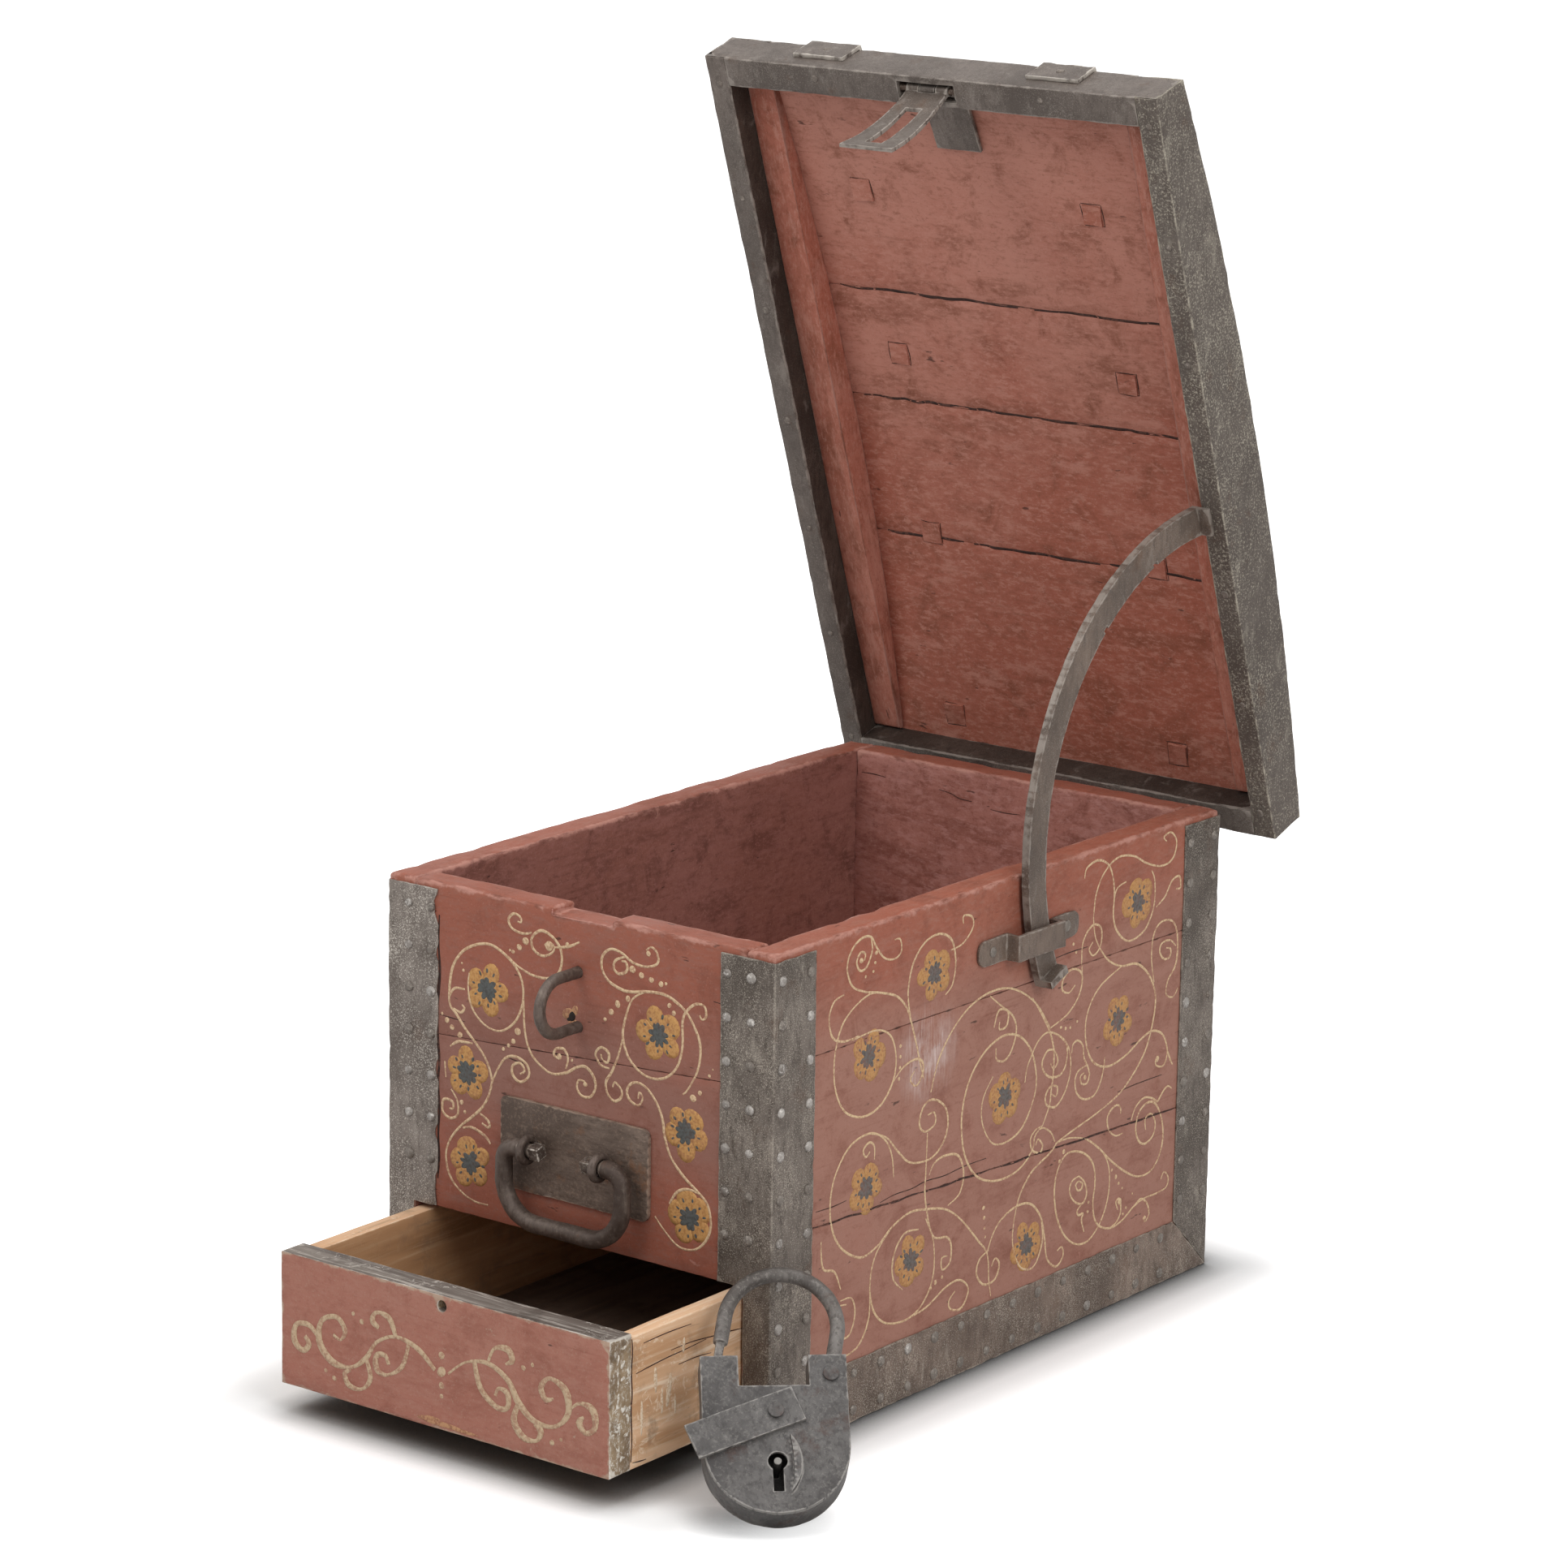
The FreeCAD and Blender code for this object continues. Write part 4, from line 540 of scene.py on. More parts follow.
creamFront = brush("creamBrush", (214, 186, 150), (192, 158, 124), 0.55)
ochreFront = brush("ochreBrush", (192, 145, 90), (172, 123, 72), 0.35)
slateFront = brush("slateBrush", (88, 90, 88), (70, 71, 69), 0.1)
creamSide = brush("creamBrushWorn", (212, 184, 146), (192, 158, 124), 0.65)
ochreSide = brush("ochreBrushWorn", (184, 139, 90), (172, 123, 72), 0.55)
slateSide = brush("slateBrushWorn", (104, 98, 94), (70, 71, 69), 0.4)
creamDrawer = brush("creamBrushDrawer", (192, 168, 138), (172, 144, 116), 0.6)
crackDark = brush("crackDark", (50, 31, 26), (40, 25, 21), 0.3)
# painted shade: a flat dark dab stands in for the shadow inside an old hole
paintedHoleShade = brush("paintedHoleShade", (30, 22, 18), (40, 29, 23), 0.0)
pineSmear = brush("pineSmear", (228, 208, 182), (210, 180, 148), 0.95, (192, 150, 114))
endChip = brush("endChip", (226, 219, 208), (186, 174, 156), 0.5, (128, 108, 86))
splinter = brush("splinterWood", (180, 136, 100), (146, 102, 76), 0.6)
print("stage: finishes")


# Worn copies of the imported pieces
angles = {"rim": 28.0, "bevel": 40.0, "round": 60.0, "flat": 1.0, "smooth": 38.0, "forged": 60.0,
          "rove": 40.0}
tiny = 1e-6
bevelSteps, roundSteps = 2, 4
# What each piece's seed shifts its pattern by
patternStep, toneStep = (7.31, 3.17, 5.77), (0.37, 0.23, 0.41)
openTop = 340.0  # in mm: below it plank joints stay close, above it the open top edge is battered
facing = 0.55  # a face whose normal points this much one way counts as looking that way
straight = 0.9
hinge = Vector((0.0, 304.5, 337.5)) * mm
hookFront = -300.0  # a strap is turned down over the lid's front edge ahead of this, with the lid shut
strapThick = 6.0  # at most, in mm
lidRim = {"x": 205.0, "y": 306.5, "z": 344.0, "near": 0.6}  # the lid's lower outer edge when shut
topBand = (0.3628, 0.366)  # heights of the chest's top edge
ironBend = {"x": 0.1764, "y": 0.2779, "near": 6e-4}
gnawRows = ((3.1, 0.7), (1.7, 5.2))  # two lines through the noise, for large bites and small


def meshFrom(name, work):
    mesh = bpy.data.meshes.new(name)
    work.to_mesh(mesh)
    work.free()
    return mesh


def evaluated(host):
    bpy.context.view_layer.update()
    mesh = bpy.data.meshes.new_from_object(host.evaluated_get(bpy.context.evaluated_depsgraph_get()))
    bpy.data.objects.remove(host)
    return mesh


def addLayer(mesh, label, values):
    flat = np.array(values, np.float32)
    kind, field = ("FLOAT_VECTOR", "vector") if flat.ndim == 2 else ("FLOAT", "value")
    mesh.attributes.new(label, kind, "POINT").data.foreach_set(field, flat.ravel())


def mergedCopy(node):
    work = bmesh.new()
    work.from_mesh(frame["nodes"][node].data)
    bmesh.ops.remove_doubles(work, verts=work.verts, dist=2 * tiny)
    bmesh.ops.dissolve_degenerate(work, edges=work.edges, dist=tiny)
    return work


def sharpEdges(work, angle):
    limit = math.radians(angle)
    return [edge for edge in work.edges if len(edge.link_faces) == 2 and edge.calc_face_angle(0.0) > limit]


def rimTree(work, step=2.5):
    points = []
    for edge in sharpEdges(work, angles["rim"]):
        first, last = edge.verts[0].co, edge.verts[1].co
        count = max(1, int((last - first).length / (step * mm)))
        points += [first.lerp(last, index / count) for index in range(count + 1)]
    tree = kdtree.KDTree(max(1, len(points)))
    for index, point in enumerate(points):
        tree.insert(point, index)
    tree.balance()
    return tree


def sliceUp(work, cell, axes):
    for axis in axes:
        reach = [axis.dot(vert.co) for vert in work.verts]
        low, high = min(reach), max(reach)
        count = int((high - low) / (cell * mm))
        for index in range(1, count + 1):
            at = low + (high - low) * index / (count + 1)
            bmesh.ops.bisect_plane(work, geom=work.verts[:] + work.edges[:] + work.faces[:], dist=tiny,
                                   plane_co=axis * at, plane_no=axis)


def weather(work, tree, look, seed):
    shift = Vector([seed * step for step in patternStep])
    work.normal_update()
    rims, moves = [], []
    for vert in work.verts:
        place = vert.co / mm
        rim = tree.find(vert.co)[2] / mm
        swell = noise.noise(place / look["waveSize"] + shift) * look["wave"] + look.get("swell", 0.0)
        grit = noise.noise(place / look["gritSize"] + shift) * look["grit"]
        bite = max(0.0, noise.noise(place / look["nickSize"] - shift) + look["nickShare"]) * look["nick"]
        bite *= max(0.0, 1.0 - rim / look["nickReach"])
        if place.z < openTop:
            bite *= look.get("nickBelow", 1.0)
        rims.append(rim)
        moves.append(vert.normal * ((swell + grit - bite) * mm))
    for vert, move in zip(work.verts, moves):
        vert.co += move
    return rims


def settle(piece, body, slot, *nodes):
    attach(piece, body)
    if nodes:
        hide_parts(*nodes)


def finishedObject(name, work, rims, material, seed, smoothAngle):
    bmesh.ops.recalc_face_normals(work, faces=work.faces)
    mesh = meshFrom(name, work)
    addLayer(mesh, "rim", np.clip(rims, 0, rimLimit))
    addLayer(mesh, "tone", [[seed * step for step in toneStep]] * len(rims))
    mesh.polygons.foreach_set("use_smooth", np.ones(len(mesh.polygons), bool))
    mesh.set_sharp_from_angle(angle=math.radians(smoothAngle))
    mesh.materials.append(material)
    return linked(name, mesh)


def shutPlace(place):  # where a point of the lid lies when the lid is shut, in mm
    return (Matrix.Rotation(-lidTurn, 3, "X") @ (place - hinge) + hinge) / mm


def openPlace(x, y, z):  # and back, from mm
    return Matrix.Rotation(lidTurn, 3, "X") @ (Vector((x, y, z)) * mm - hinge) + hinge


def isTopEdge(edge):
    return all(topBand[0] < vert.co.z < topBand[1] for vert in edge.verts)


def isIronCorner(edge):  # the upright bend of a corner iron
    return all(abs(abs(getattr(vert.co, axis)) - ironBend[axis]) < ironBend["near"]
               for vert in edge.verts for axis in "xy")


def shortEdge(axis, longest):  # picks the short edges that run one way through a sheet
    def isShort(edge):
        along = edge.verts[1].co - edge.verts[0].co
        return abs(along[axis]) > straight * along.length and along.length < longest * mm
    return isShort


def isHookCorner(edge):  # the short edges through a strap's turned-down end
    ends = [shutPlace(vert.co) for vert in edge.verts]
    along = ends[1] - ends[0]
    atFront = max(end.y for end in ends) < hookFront
    return atFront and abs(along.y) > straight * along.length and along.length < strapThick


def isLidRim(edge):
    ends = [shutPlace(vert.co) for vert in edge.verts]
    if any(abs(end.z - lidRim["z"]) > lidRim["near"] for end in ends):
        return False
    return any(all(abs(abs(end[axis]) - lidRim[name]) < lidRim["near"] for end in ends)
               for axis, name in enumerate("xy"))


def bevelEdges(work, edges, size, segments):
    if edges:
        bmesh.ops.bevel(work, geom=edges, offset=size * mm, offset_type="OFFSET", segments=segments,
                        profile=0.5, affect="EDGES", clamp_overlap=True)


def gnaw(work, rag):  # eats into one edge of a thin sheet, in the sheet's own plane
    for vert in work.verts:
        near = 1.0 - abs(vert.co[rag["axis"]] / mm - rag["at"]) / rag["reach"]
        if near > 0.0:
            along = vert.co[rag["along"]] / mm / rag["size"]
            bite = max(0.0, noise.noise(Vector((along, *gnawRows[0]))) + rag["share"]) * rag["depth"]
            bite += noise.noise(Vector((along * rag["finer"], *gnawRows[1]))) * rag["depth"] * rag["fine"]
            vert.co[rag["axis"]] += rag["sign"] * bite * near * mm


def batter(work, tree, look, seed, axes):  # bevels, cuts up and wears a shape
    bevelEdges(work, sharpEdges(work, angles["bevel"]), look["bevel"], bevelSteps)
    sliceUp(work, look["cell"], axes)
    bmesh.ops.triangulate(work, faces=[face for face in work.faces if len(face.verts) > 4])
    return weather(work, tree, look, seed)


def wornPiece(node, material, slot, look, seed, axes):
    work = mergedCopy(node)
    tree = rimTree(work)
    bmesh.ops.dissolve_limit(work, angle_limit=math.radians(angles["flat"]), verts=work.verts,
                             edges=work.edges)
    for chosen, size in look.get("rounds", ()):
        bevelEdges(work, [edge for edge in sharpEdges(work, angles["round"]) if chosen(edge)], size,
                   roundSteps)
    rims = batter(work, tree, look, seed, axes)
    if "gnaw" in look:
        gnaw(work, look["gnaw"])
    settle(finishedObject(node + "_worn", work, rims, material, seed, angles["smooth"]), bodyOf[node], slot,
           node)


def forgedPiece(node, material, slot, look, seed):
    work = mergedCopy(node)
    tree = rimTree(work)
    holder = linked(node + "_rough", meshFrom(node + "_rough", work))
    voxels = holder.modifiers.new("voxels", "REMESH")
    voxels.mode, voxels.voxel_size = "VOXEL", look["voxel"] * mm
    work = bmesh.new()
    work.from_mesh(evaluated(holder))
    for turn in range(look["smooth"]):
        bmesh.ops.smooth_vert(work, verts=work.verts, factor=0.5, use_axis_x=True, use_axis_y=True,
                              use_axis_z=True)
    rims = weather(work, tree, look, seed)
    settle(finishedObject(node + "_worn", work, rims, material, seed, angles["forged"]), bodyOf[node], slot,
           node)


square = [Vector((1, 0, 0)), Vector((0, 1, 0)), Vector((0, 0, 1))]
lidAxes = [Matrix.Rotation(lidTurn, 3, "X") @ axis for axis in square]
lockAxes = [Vector((0.74314, 0.66913, 0)), Vector((-0.47315, 0.52548, 0.70711)),
            Vector((0.47315, -0.52548, 0.70711))]

plankLook = dict(cell=9.0, bevel=0.35, rounds=[(isTopEdge, 2.6)], nickBelow=0.12, wave=0.35, waveSize=46.0,
                 grit=0.12, gritSize=11.0, nick=2.2, nickSize=17.0, nickShare=0.05, nickReach=7.0)
lidLook = dict(plankLook, bevel=0.5, nick=0.2, wave=0.22, swell=0.3, cell=10.0)  # no daylight between planks
drawerLook = dict(plankLook, nick=1.4, bevel=0.8)
hiddenLook = dict(plankLook, bevel=0.8, cell=16.0)
sheetLook = dict(cell=6.0, bevel=0.4, wave=0.3, waveSize=38.0, grit=0.14, gritSize=8.0, nick=1.2,
                 nickSize=9.0, nickShare=0.1, nickReach=4.0)
ironLook = dict(sheetLook, rounds=[(isIronCorner, 4.0)])
leftGnaw = dict(axis=0, along=2, at=-129.0, sign=-1.0, reach=7.0, depth=6.0, size=17.0, share=0.2, finer=3.7,
                fine=0.25)
lidWrapLook = dict(sheetLook, cell=9.0, rounds=[(isLidRim, 3.6)])
strapLook = dict(sheetLook, cell=7.0, bevel=1.1, rounds=[(isHookCorner, 7.0)])
plateLook = dict(sheetLook, cell=4.0, bevel=0.8, wave=0.35, grit=0.22, gritSize=5.0)
lockLook = dict(sheetLook, cell=4.0, bevel=0.7, wave=0.18, grit=0.06, nick=0.5)
haspLook = dict(lockLook, cell=5.0)
rodLook = dict(voxel=0.9, smooth=3, wave=0.45, waveSize=19.0, grit=0.22, gritSize=4.5, nick=0.0,
               nickSize=9.0, nickShare=0.0, nickReach=1.0)

red, pineSlot, dark, wrought, lock = "red_painted_wood", "bare_pine", "dark_wood", "wrought_iron", "lock_iron"
wornTable = [  # nodes, finish, slot, wear and the ways it is cut up; an order that the seeds follow
    ("front_plank_bottom front_plank_top back_plank_bottom back_plank_top", redAcross, red, plankLook,
     square),
    ("right_plank_top right_plank_middle right_plank_bottom", redAlong, red, plankLook, square),
    ("left_plank_bottom left_plank_top compartment_floor", redAlong, red, plankLook, square),
    ("lid_plank_1 lid_plank_2 lid_plank_3 lid_plank_4", redLid, red, lidLook, lidAxes),
    ("lid_batten_left lid_batten_right", redBatten, red, dict(lidLook, swell=-0.35), lidAxes),
    ("lid_rail_front lid_rail_back lid_rail_left lid_rail_right", railIron, wrought,
     dict(lidLook, swell=0.0), lidAxes),
    ("drawer_front", redDrawer, red, plankLook, square),
    ("drawer_side_left drawer_side_right", pine, pineSlot, drawerLook, square),
    ("drawer_back", pineAcross, pineSlot, drawerLook, square),
    ("drawer_bottom", darkWood, dark, hiddenLook, square),
    ("bottom_board", darkWood, dark, dict(hiddenLook, swell=-0.5), square),
    ("corner_iron_front_left", leftIron, wrought, dict(ironLook, cell=4.5, gnaw=leftGnaw), square),
    ("corner_iron_front_right corner_iron_back_left corner_iron_back_right", sheetIron, wrought, ironLook,
     square),
    ("base_iron_left base_iron_right base_iron_back", baseIron, wrought, dict(ironLook, nick=2.0), square),
    ("lid_wrap_left lid_wrap_front lid_wrap_back", lidIron, wrought, lidWrapLook, lidAxes),
    ("lid_wrap_right", lidSideIron, wrought, lidWrapLook, lidAxes),
    ("lid_strap_left lid_strap_right", strapIron, wrought, strapLook, lidAxes),
    ("hinge_leaf_left hinge_leaf_right", lidIron, wrought, sheetLook, square),
    ("hasp_plate", lidIron, wrought, haspLook, lidAxes),
    ("hasp", haspIron, wrought, haspLook, lidAxes),
    ("lid_stay", stayIron, wrought, dict(lockLook, cell=6.0, wave=0.3), square),
    ("stay_keeper", stayIron, wrought, dict(plateLook, rounds=[(shortEdge(0, 4.5), 9.0)]), square),
    ("handle_plate", forgedIron, wrought, dict(plateLook, rounds=[(shortEdge(1, 9.0), 6.0)]), square),
    ("padlock_case padlock_front_plate padlock_keyhole_cover", lockIron, lock, lockLook, lockAxes),
    ("handle_bail handle_eyes", rodIron, wrought, rodLook, None),
    ("lock_staple", rodIron, wrought, dict(rodLook, voxel=0.8, wave=0.3, swell=0.5), None),
    ("padlock_shackle", shackleIron, lock, dict(rodLook, voxel=0.7, wave=0.2, grit=0.1), None),
    ("padlock_rivets", rivetIron, lock, dict(rodLook, voxel=0.5, wave=0.1, grit=0.08), None),
]
seed = 0
for nodes, material, slot, look, axes in wornTable:
    for node in nodes.split():
        seed += 1
        if axes:
            wornPiece(node, material, slot, look, seed, axes)
        else:
            forgedPiece(node, material, slot, look, seed)

bailTips = {"from": 28.6, "to": 19.2, "side": 9.8, "tilt": 16.0, "y": -291.3, "z": 187.0,
            "look": dict(lockLook, cell=2.0, bevel=0.9, wave=0.25, grit=0.12, gritSize=4.0)}


def bailTipBlocks():  # the squared ends that keep the bail in its eyes
    work = bmesh.new()
    length, middle = bailTips["from"] - bailTips["to"], (bailTips["from"] + bailTips["to"]) / 2
    for side in (-1, 1):
        place = Matrix.Translation(Vector((side * middle, bailTips["y"], bailTips["z"])) * mm)
        turn = Matrix.Rotation(math.radians(bailTips["tilt"]), 4, "X")
        grown = Matrix.Diagonal((length * mm, bailTips["side"] * mm, bailTips["side"] * mm, 1.0))
        bmesh.ops.create_cube(work, size=1.0, matrix=place @ turn @ grown)
    return work


tipWork = bailTipBlocks()
tipRims = batter(tipWork, rimTree(tipWork), bailTips["look"], seed + 1, square)
tipPiece = finishedObject("bail_tips", tipWork, tipRims, tipIron, seed + 1, angles["smooth"])
settle(tipPiece, "bail", wrought, "handle_bail")


def recoat(node, *layers):  # another finish where a face looks one of the ways given, as axis and sign
    board = bpy.data.objects[node + "_worn"].data
    for material, *ways in layers:
        board.materials.append(material)
        for face in board.polygons:
            if face.material_index == 0 and any(face.normal[axis] * sign > facing for axis, sign in ways):
                face.material_index = len(board.materials) - 1


for wall, axis, sign, planks in (("front", 1, 1, "bottom top"), ("back", 1, -1, "bottom top"),
                                 ("left", 0, 1, "bottom top"), ("right", 0, -1, "bottom middle top")):
    for plank in planks.split():  # the walls' inner faces take hazier copies of the red: painted light that brightens the inside
        recoat("%s_plank_%s" % (wall, plank), (redInsideAcross if axis else redInsideAlong, (axis, sign)))
recoat("drawer_side_left", (pineInner, (0, 1)))
recoat("drawer_side_right", (pineInner, (0, -1)))
recoat("drawer_front", (weatheredTop, (2, 1)), (chippedEnd, (0, 1), (0, -1)), (pineAcross, (1, 1), (2, -1)))
for node in ("padlock_bolt", "padlock_spring", "hinge_pins", "hasp_pin"):
    for place in frame["nodes"][node].material_slots:
        place.material = hiddenIron


# Things that repeat: nails, rivet heads, roves and the brushwork, grown from points and strokes
def grow(host, tree, values):
    modifier = host.modifiers.new("grow", "NODES")
    modifier.node_group = tree
    for item in tree.interface.items_tree:
        if item.item_type == "SOCKET" and item.in_out == "INPUT" and item.name in values:
            modifier[item.identifier] = values[item.name]
    return evaluated(host)


def pointHost(name, places, layers, edges=()):
    mesh = bpy.data.meshes.new(name)
    mesh.from_pydata([tuple(place) for place in places], edges, [])
    for label, values in layers.items():
        addLayer(mesh, label, values)
    return linked(name, mesh)


def joinMeshes(name, meshes):  # each keeps the finish that its tree gave it
    work = bmesh.new()
    for index, mesh in enumerate(meshes):
        start = len(work.faces)
        work.from_mesh(mesh)
        work.faces.ensure_lookup_table()
        for face in work.faces[start:]:
            face.material_index = index
    bmesh.ops.recalc_face_normals(work, faces=work.faces)
    joined = meshFrom(name, work)
    for mesh in meshes:
        joined.materials.append(mesh.materials[mesh.polygons[0].material_index])
    joined.polygons.foreach_set("use_smooth", np.ones(len(joined.polygons), bool))
    return linked(name, joined)


def islands(node):
    work = mergedCopy(node)
    work.verts.ensure_lookup_table()
    seen, found = set(), []
    for start in work.verts:
        if start.index in seen:
            continue
        seen.add(start.index)
        waiting, group = [start], []
        while waiting:
            vert = waiting.pop()
            group.append(tuple(vert.co))
            for edge in vert.link_edges:
                other = edge.other_vert(vert)
                if other.index not in seen:
                    seen.add(other.index)
                    waiting.append(other)
        found.append(np.array(group))
    work.free()
    return found


def geo(tree, kind, wires=None, out=0, **settings):
    return wired(tree, "GeometryNode" + kind, wires, out, **settings)


def growGroup(name, inputs):
    inputs = [("Geometry", "Geometry", None)] + inputs
    return nodeGroup(name, "GeometryNodeTree", inputs, [("Geometry", "Geometry")])


def coated(tree, given, geometry):
    return geo(tree, "SetMaterial", {"Geometry": geometry, "Material": given["Finish"]})


def turnedTo(tree, outward, spin):
    aligned = wired(tree, "FunctionNodeAlignRotationToVector", {"Vector": outward}, axis="Z")
    twist = wired(tree, "FunctionNodeAxisAngleToRotation", {"Axis": (0, 0, 1), "Angle": spin})
    return wired(tree, "FunctionNodeRotateRotation", {0: aligned, 1: twist}, rotation_space="LOCAL")


def named(tree, label, kind):
    return geo(tree, "InputNamedAttribute", {"Name": label}, "Attribute", data_type=kind)


def chance(tree, low, high, seed):
    return wired(tree, "FunctionNodeRandomValue", {2: low, 3: high, 8: seed}, 1, data_type="FLOAT")


def copies(tree, given, shape, turn, size):  # the shape at each point, as a real mesh
    wires = {"Points": geo(tree, "MeshToPoints", {"Mesh": given["Geometry"]}), "Instance": shape,
             "Rotation": turn, "Scale": size}
    return geo(tree, "RealizeInstances", {"Geometry": geo(tree, "InstanceOnPoints", wires)})


def jolt(tree, scale, reach):  # a small move to any side, from noise
    wires = {"Vector": geo(tree, "InputPosition"), "Scale": scale, "Detail": 2.0}
    push = vecMath(tree, "SUBTRACT", wired(tree, "ShaderNodeTexNoise", wires, "Color"), (0.5, 0.5, 0.5))
    return scaled(tree, push, reach)


finishInput = ("Finish", "Material", None)
dentGrain = 320.0
fullTurn = 3.1  # either way, in radians: a round head can stand at any angle


def headTree(name, shapeKind, shapeWires):
    sizes = [(label, "Float", 0.0) for label in ("Radius", "Height", "Spin", "Spread", "Dent")]
    tree, given, out = growGroup(name, sizes + [("Seed", "Int", 0), finishInput])
    spin = chance(tree, times(tree, given["Spin"], -1.0), given["Spin"], given["Seed"])
    low, high = calc(tree, "SUBTRACT", 1.0, given["Spread"]), calc(tree, "ADD", 1.0, given["Spread"])
    wide = times(tree, given["Radius"], chance(tree, low, high, given["Seed"]))
    tall = times(tree, given["Height"], named(tree, "rise", "FLOAT"))
    size = wired(tree, "ShaderNodeCombineXYZ", {0: wide, 1: wide, 2: tall})
    turn = turnedTo(tree, named(tree, "outward", "FLOAT_VECTOR"), spin)
    heads = copies(tree, given, geo(tree, shapeKind, shapeWires), turn, size)
    dented = geo(tree, "SetPosition", {"Geometry": heads, "Offset": jolt(tree, dentGrain, given["Dent"])})
    return output(tree, out, Geometry=coated(tree, given, dented))


cloutTree = headTree("cloutHeads", "MeshUVSphere", {"Segments": 9, "Rings": 5, "Radius": 1.0})
roveTree = headTree("squareRoves", "MeshCube", {"Size": (2, 2, 2), "Vertices X": 5, "Vertices Y": 5,
                                                "Vertices Z": 2})


def growHeads(tree, values, places, ways, rises=None):
    layers = {"outward": [tuple(way) for way in ways], "rise": rises or [1.0] * len(places)}
    return grow(pointHost("headPoints", places, layers), tree, values)


# Right wall nails further back than this are low, for the lid stay passes over them as the lid shuts
stayPath = {"from": -90.0, "rise": 0.6}
headRing = 0.8  # a head's outer points lie beyond this share of its radius
chestNails = {"Radius": 4.1 * mm, "Height": 2.1 * mm, "Spin": fullTurn, "Spread": 0.14, "Dent": 1.5 * mm,
              "Seed": 4}
nailWear = {"dull": 0.4, "mostDull": 0.88, "seed": 12}
nailDice = random.Random(nailWear["seed"])
keeperLow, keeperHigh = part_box("stay_keeper")
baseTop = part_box("base_iron_right")[1].z
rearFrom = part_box("corner_iron_back_right")[0].y


def chestNailPoint(group):  # the middle of a nail's head, and the way it looks
    low, high = group.min(0), group.max(0)
    axis = int(np.argmax(high - low))
    place, way = (low + high) / 2, np.zeros(3)
    across = np.linalg.norm(np.delete(group - place, axis, 1), axis=1)
    level = group[across > headRing * across.max()][:, axis].mean()
    way[axis] = 1.0 if level > place[axis] else -1.0
    place[axis] = level
    return place, way


def isDullNail(place, way):  # the keeper's two, most of those low down or to the rear, and some of the rest
    atKeeper = keeperLow.y < place[1] < keeperHigh.y and keeperLow.z < place[2] < keeperHigh.z
    onKeeper = way[0] > facing and atKeeper
    worn = place[2] < baseTop or place[1] > rearFrom
    return onKeeper or nailDice.random() < nailWear["mostDull" if worn else "dull"]


chestHeads = []
for place, way in map(chestNailPoint, islands("chest_nails")):
    low = way[0] > facing and place[1] > stayPath["from"] * mm
    chestHeads.append((isDullNail(place, way), place, way, stayPath["rise"] if low else 1.0))
nailMeshes = []
for dull, coat in ((False, nailIron), (True, dullNailIron)):
    places, ways, rises = zip(*[head[1:] for head in chestHeads if head[0] == dull])
    nailMeshes.append(growHeads(cloutTree, {**chestNails, "Finish": coat}, places, ways, rises))
settle(joinMeshes("chest_nail_heads", nailMeshes), "chest", wrought, "chest_nails")

lidNails = {"Radius": 3.0 * mm, "Height": 0.8 * mm, "Spin": fullTurn, "Spread": 0.2, "Dent": 1.2 * mm,
            "Seed": 9, "Finish": lidNailIron}
lidNailRows = {"step": 88.0, "inset": 10.0, "ends": 22.0, "border": 343.9, "haspRoom": 9.0}
hookDepth = 0.2  # in mm, within which a strap's points lie on its front face


def lidNailPoints():
    places, inset, z = [], lidNailRows["inset"], lidNailRows["border"]
    low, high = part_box("hasp")
    haspLow, haspHigh = low.x / mm - lidNailRows["haspRoom"], high.x / mm + lidNailRows["haspRoom"]
    reach = lidRim["y"] - lidNailRows["ends"]
    for side in (-1, 1):
        count = int(2 * lidRim["y"] / lidNailRows["step"])
        for index in range(count + 1):
            places.append(openPlace(side * (lidRim["x"] - inset), 2 * reach * index / count - reach, z))
        count = int(2 * lidRim["x"] / lidNailRows["step"])
        for index in range(1, count):
            x = -lidRim["x"] + 2 * lidRim["x"] * index / count
            if side > 0 or not haspLow < x < haspHigh:
                places.append(openPlace(x, side * (lidRim["y"] - inset), z))
    return places


def hookNailPoint(node):  # one in each strap's turned-down end
    ends = [shutPlace(vert.co) for vert in frame["nodes"][node].data.vertices]
    front = min(end.y for end in ends)
    hook = [end for end in ends if end.y < front + hookDepth]
    x, z = [(min(values) + max(values)) / 2 for values in ([end.x for end in hook], [end.z for end in hook])]
    return openPlace(x, front, z)


lidDown = Matrix.Rotation(lidTurn, 3, "X") @ Vector((0, 0, -1))
lidAhead = Matrix.Rotation(lidTurn, 3, "X") @ Vector((0, -1, 0))
lidPlaces = lidNailPoints()
hookPlaces = [hookNailPoint(node) for node in ("lid_strap_left", "lid_strap_right")]
lidWays = [lidDown] * len(lidPlaces) + [lidAhead] * len(hookPlaces)
lidMesh = growHeads(cloutTree, lidNails, lidPlaces + hookPlaces, lidWays)
settle(joinMeshes("lid_nail_heads", [lidMesh]), "lid", wrought)

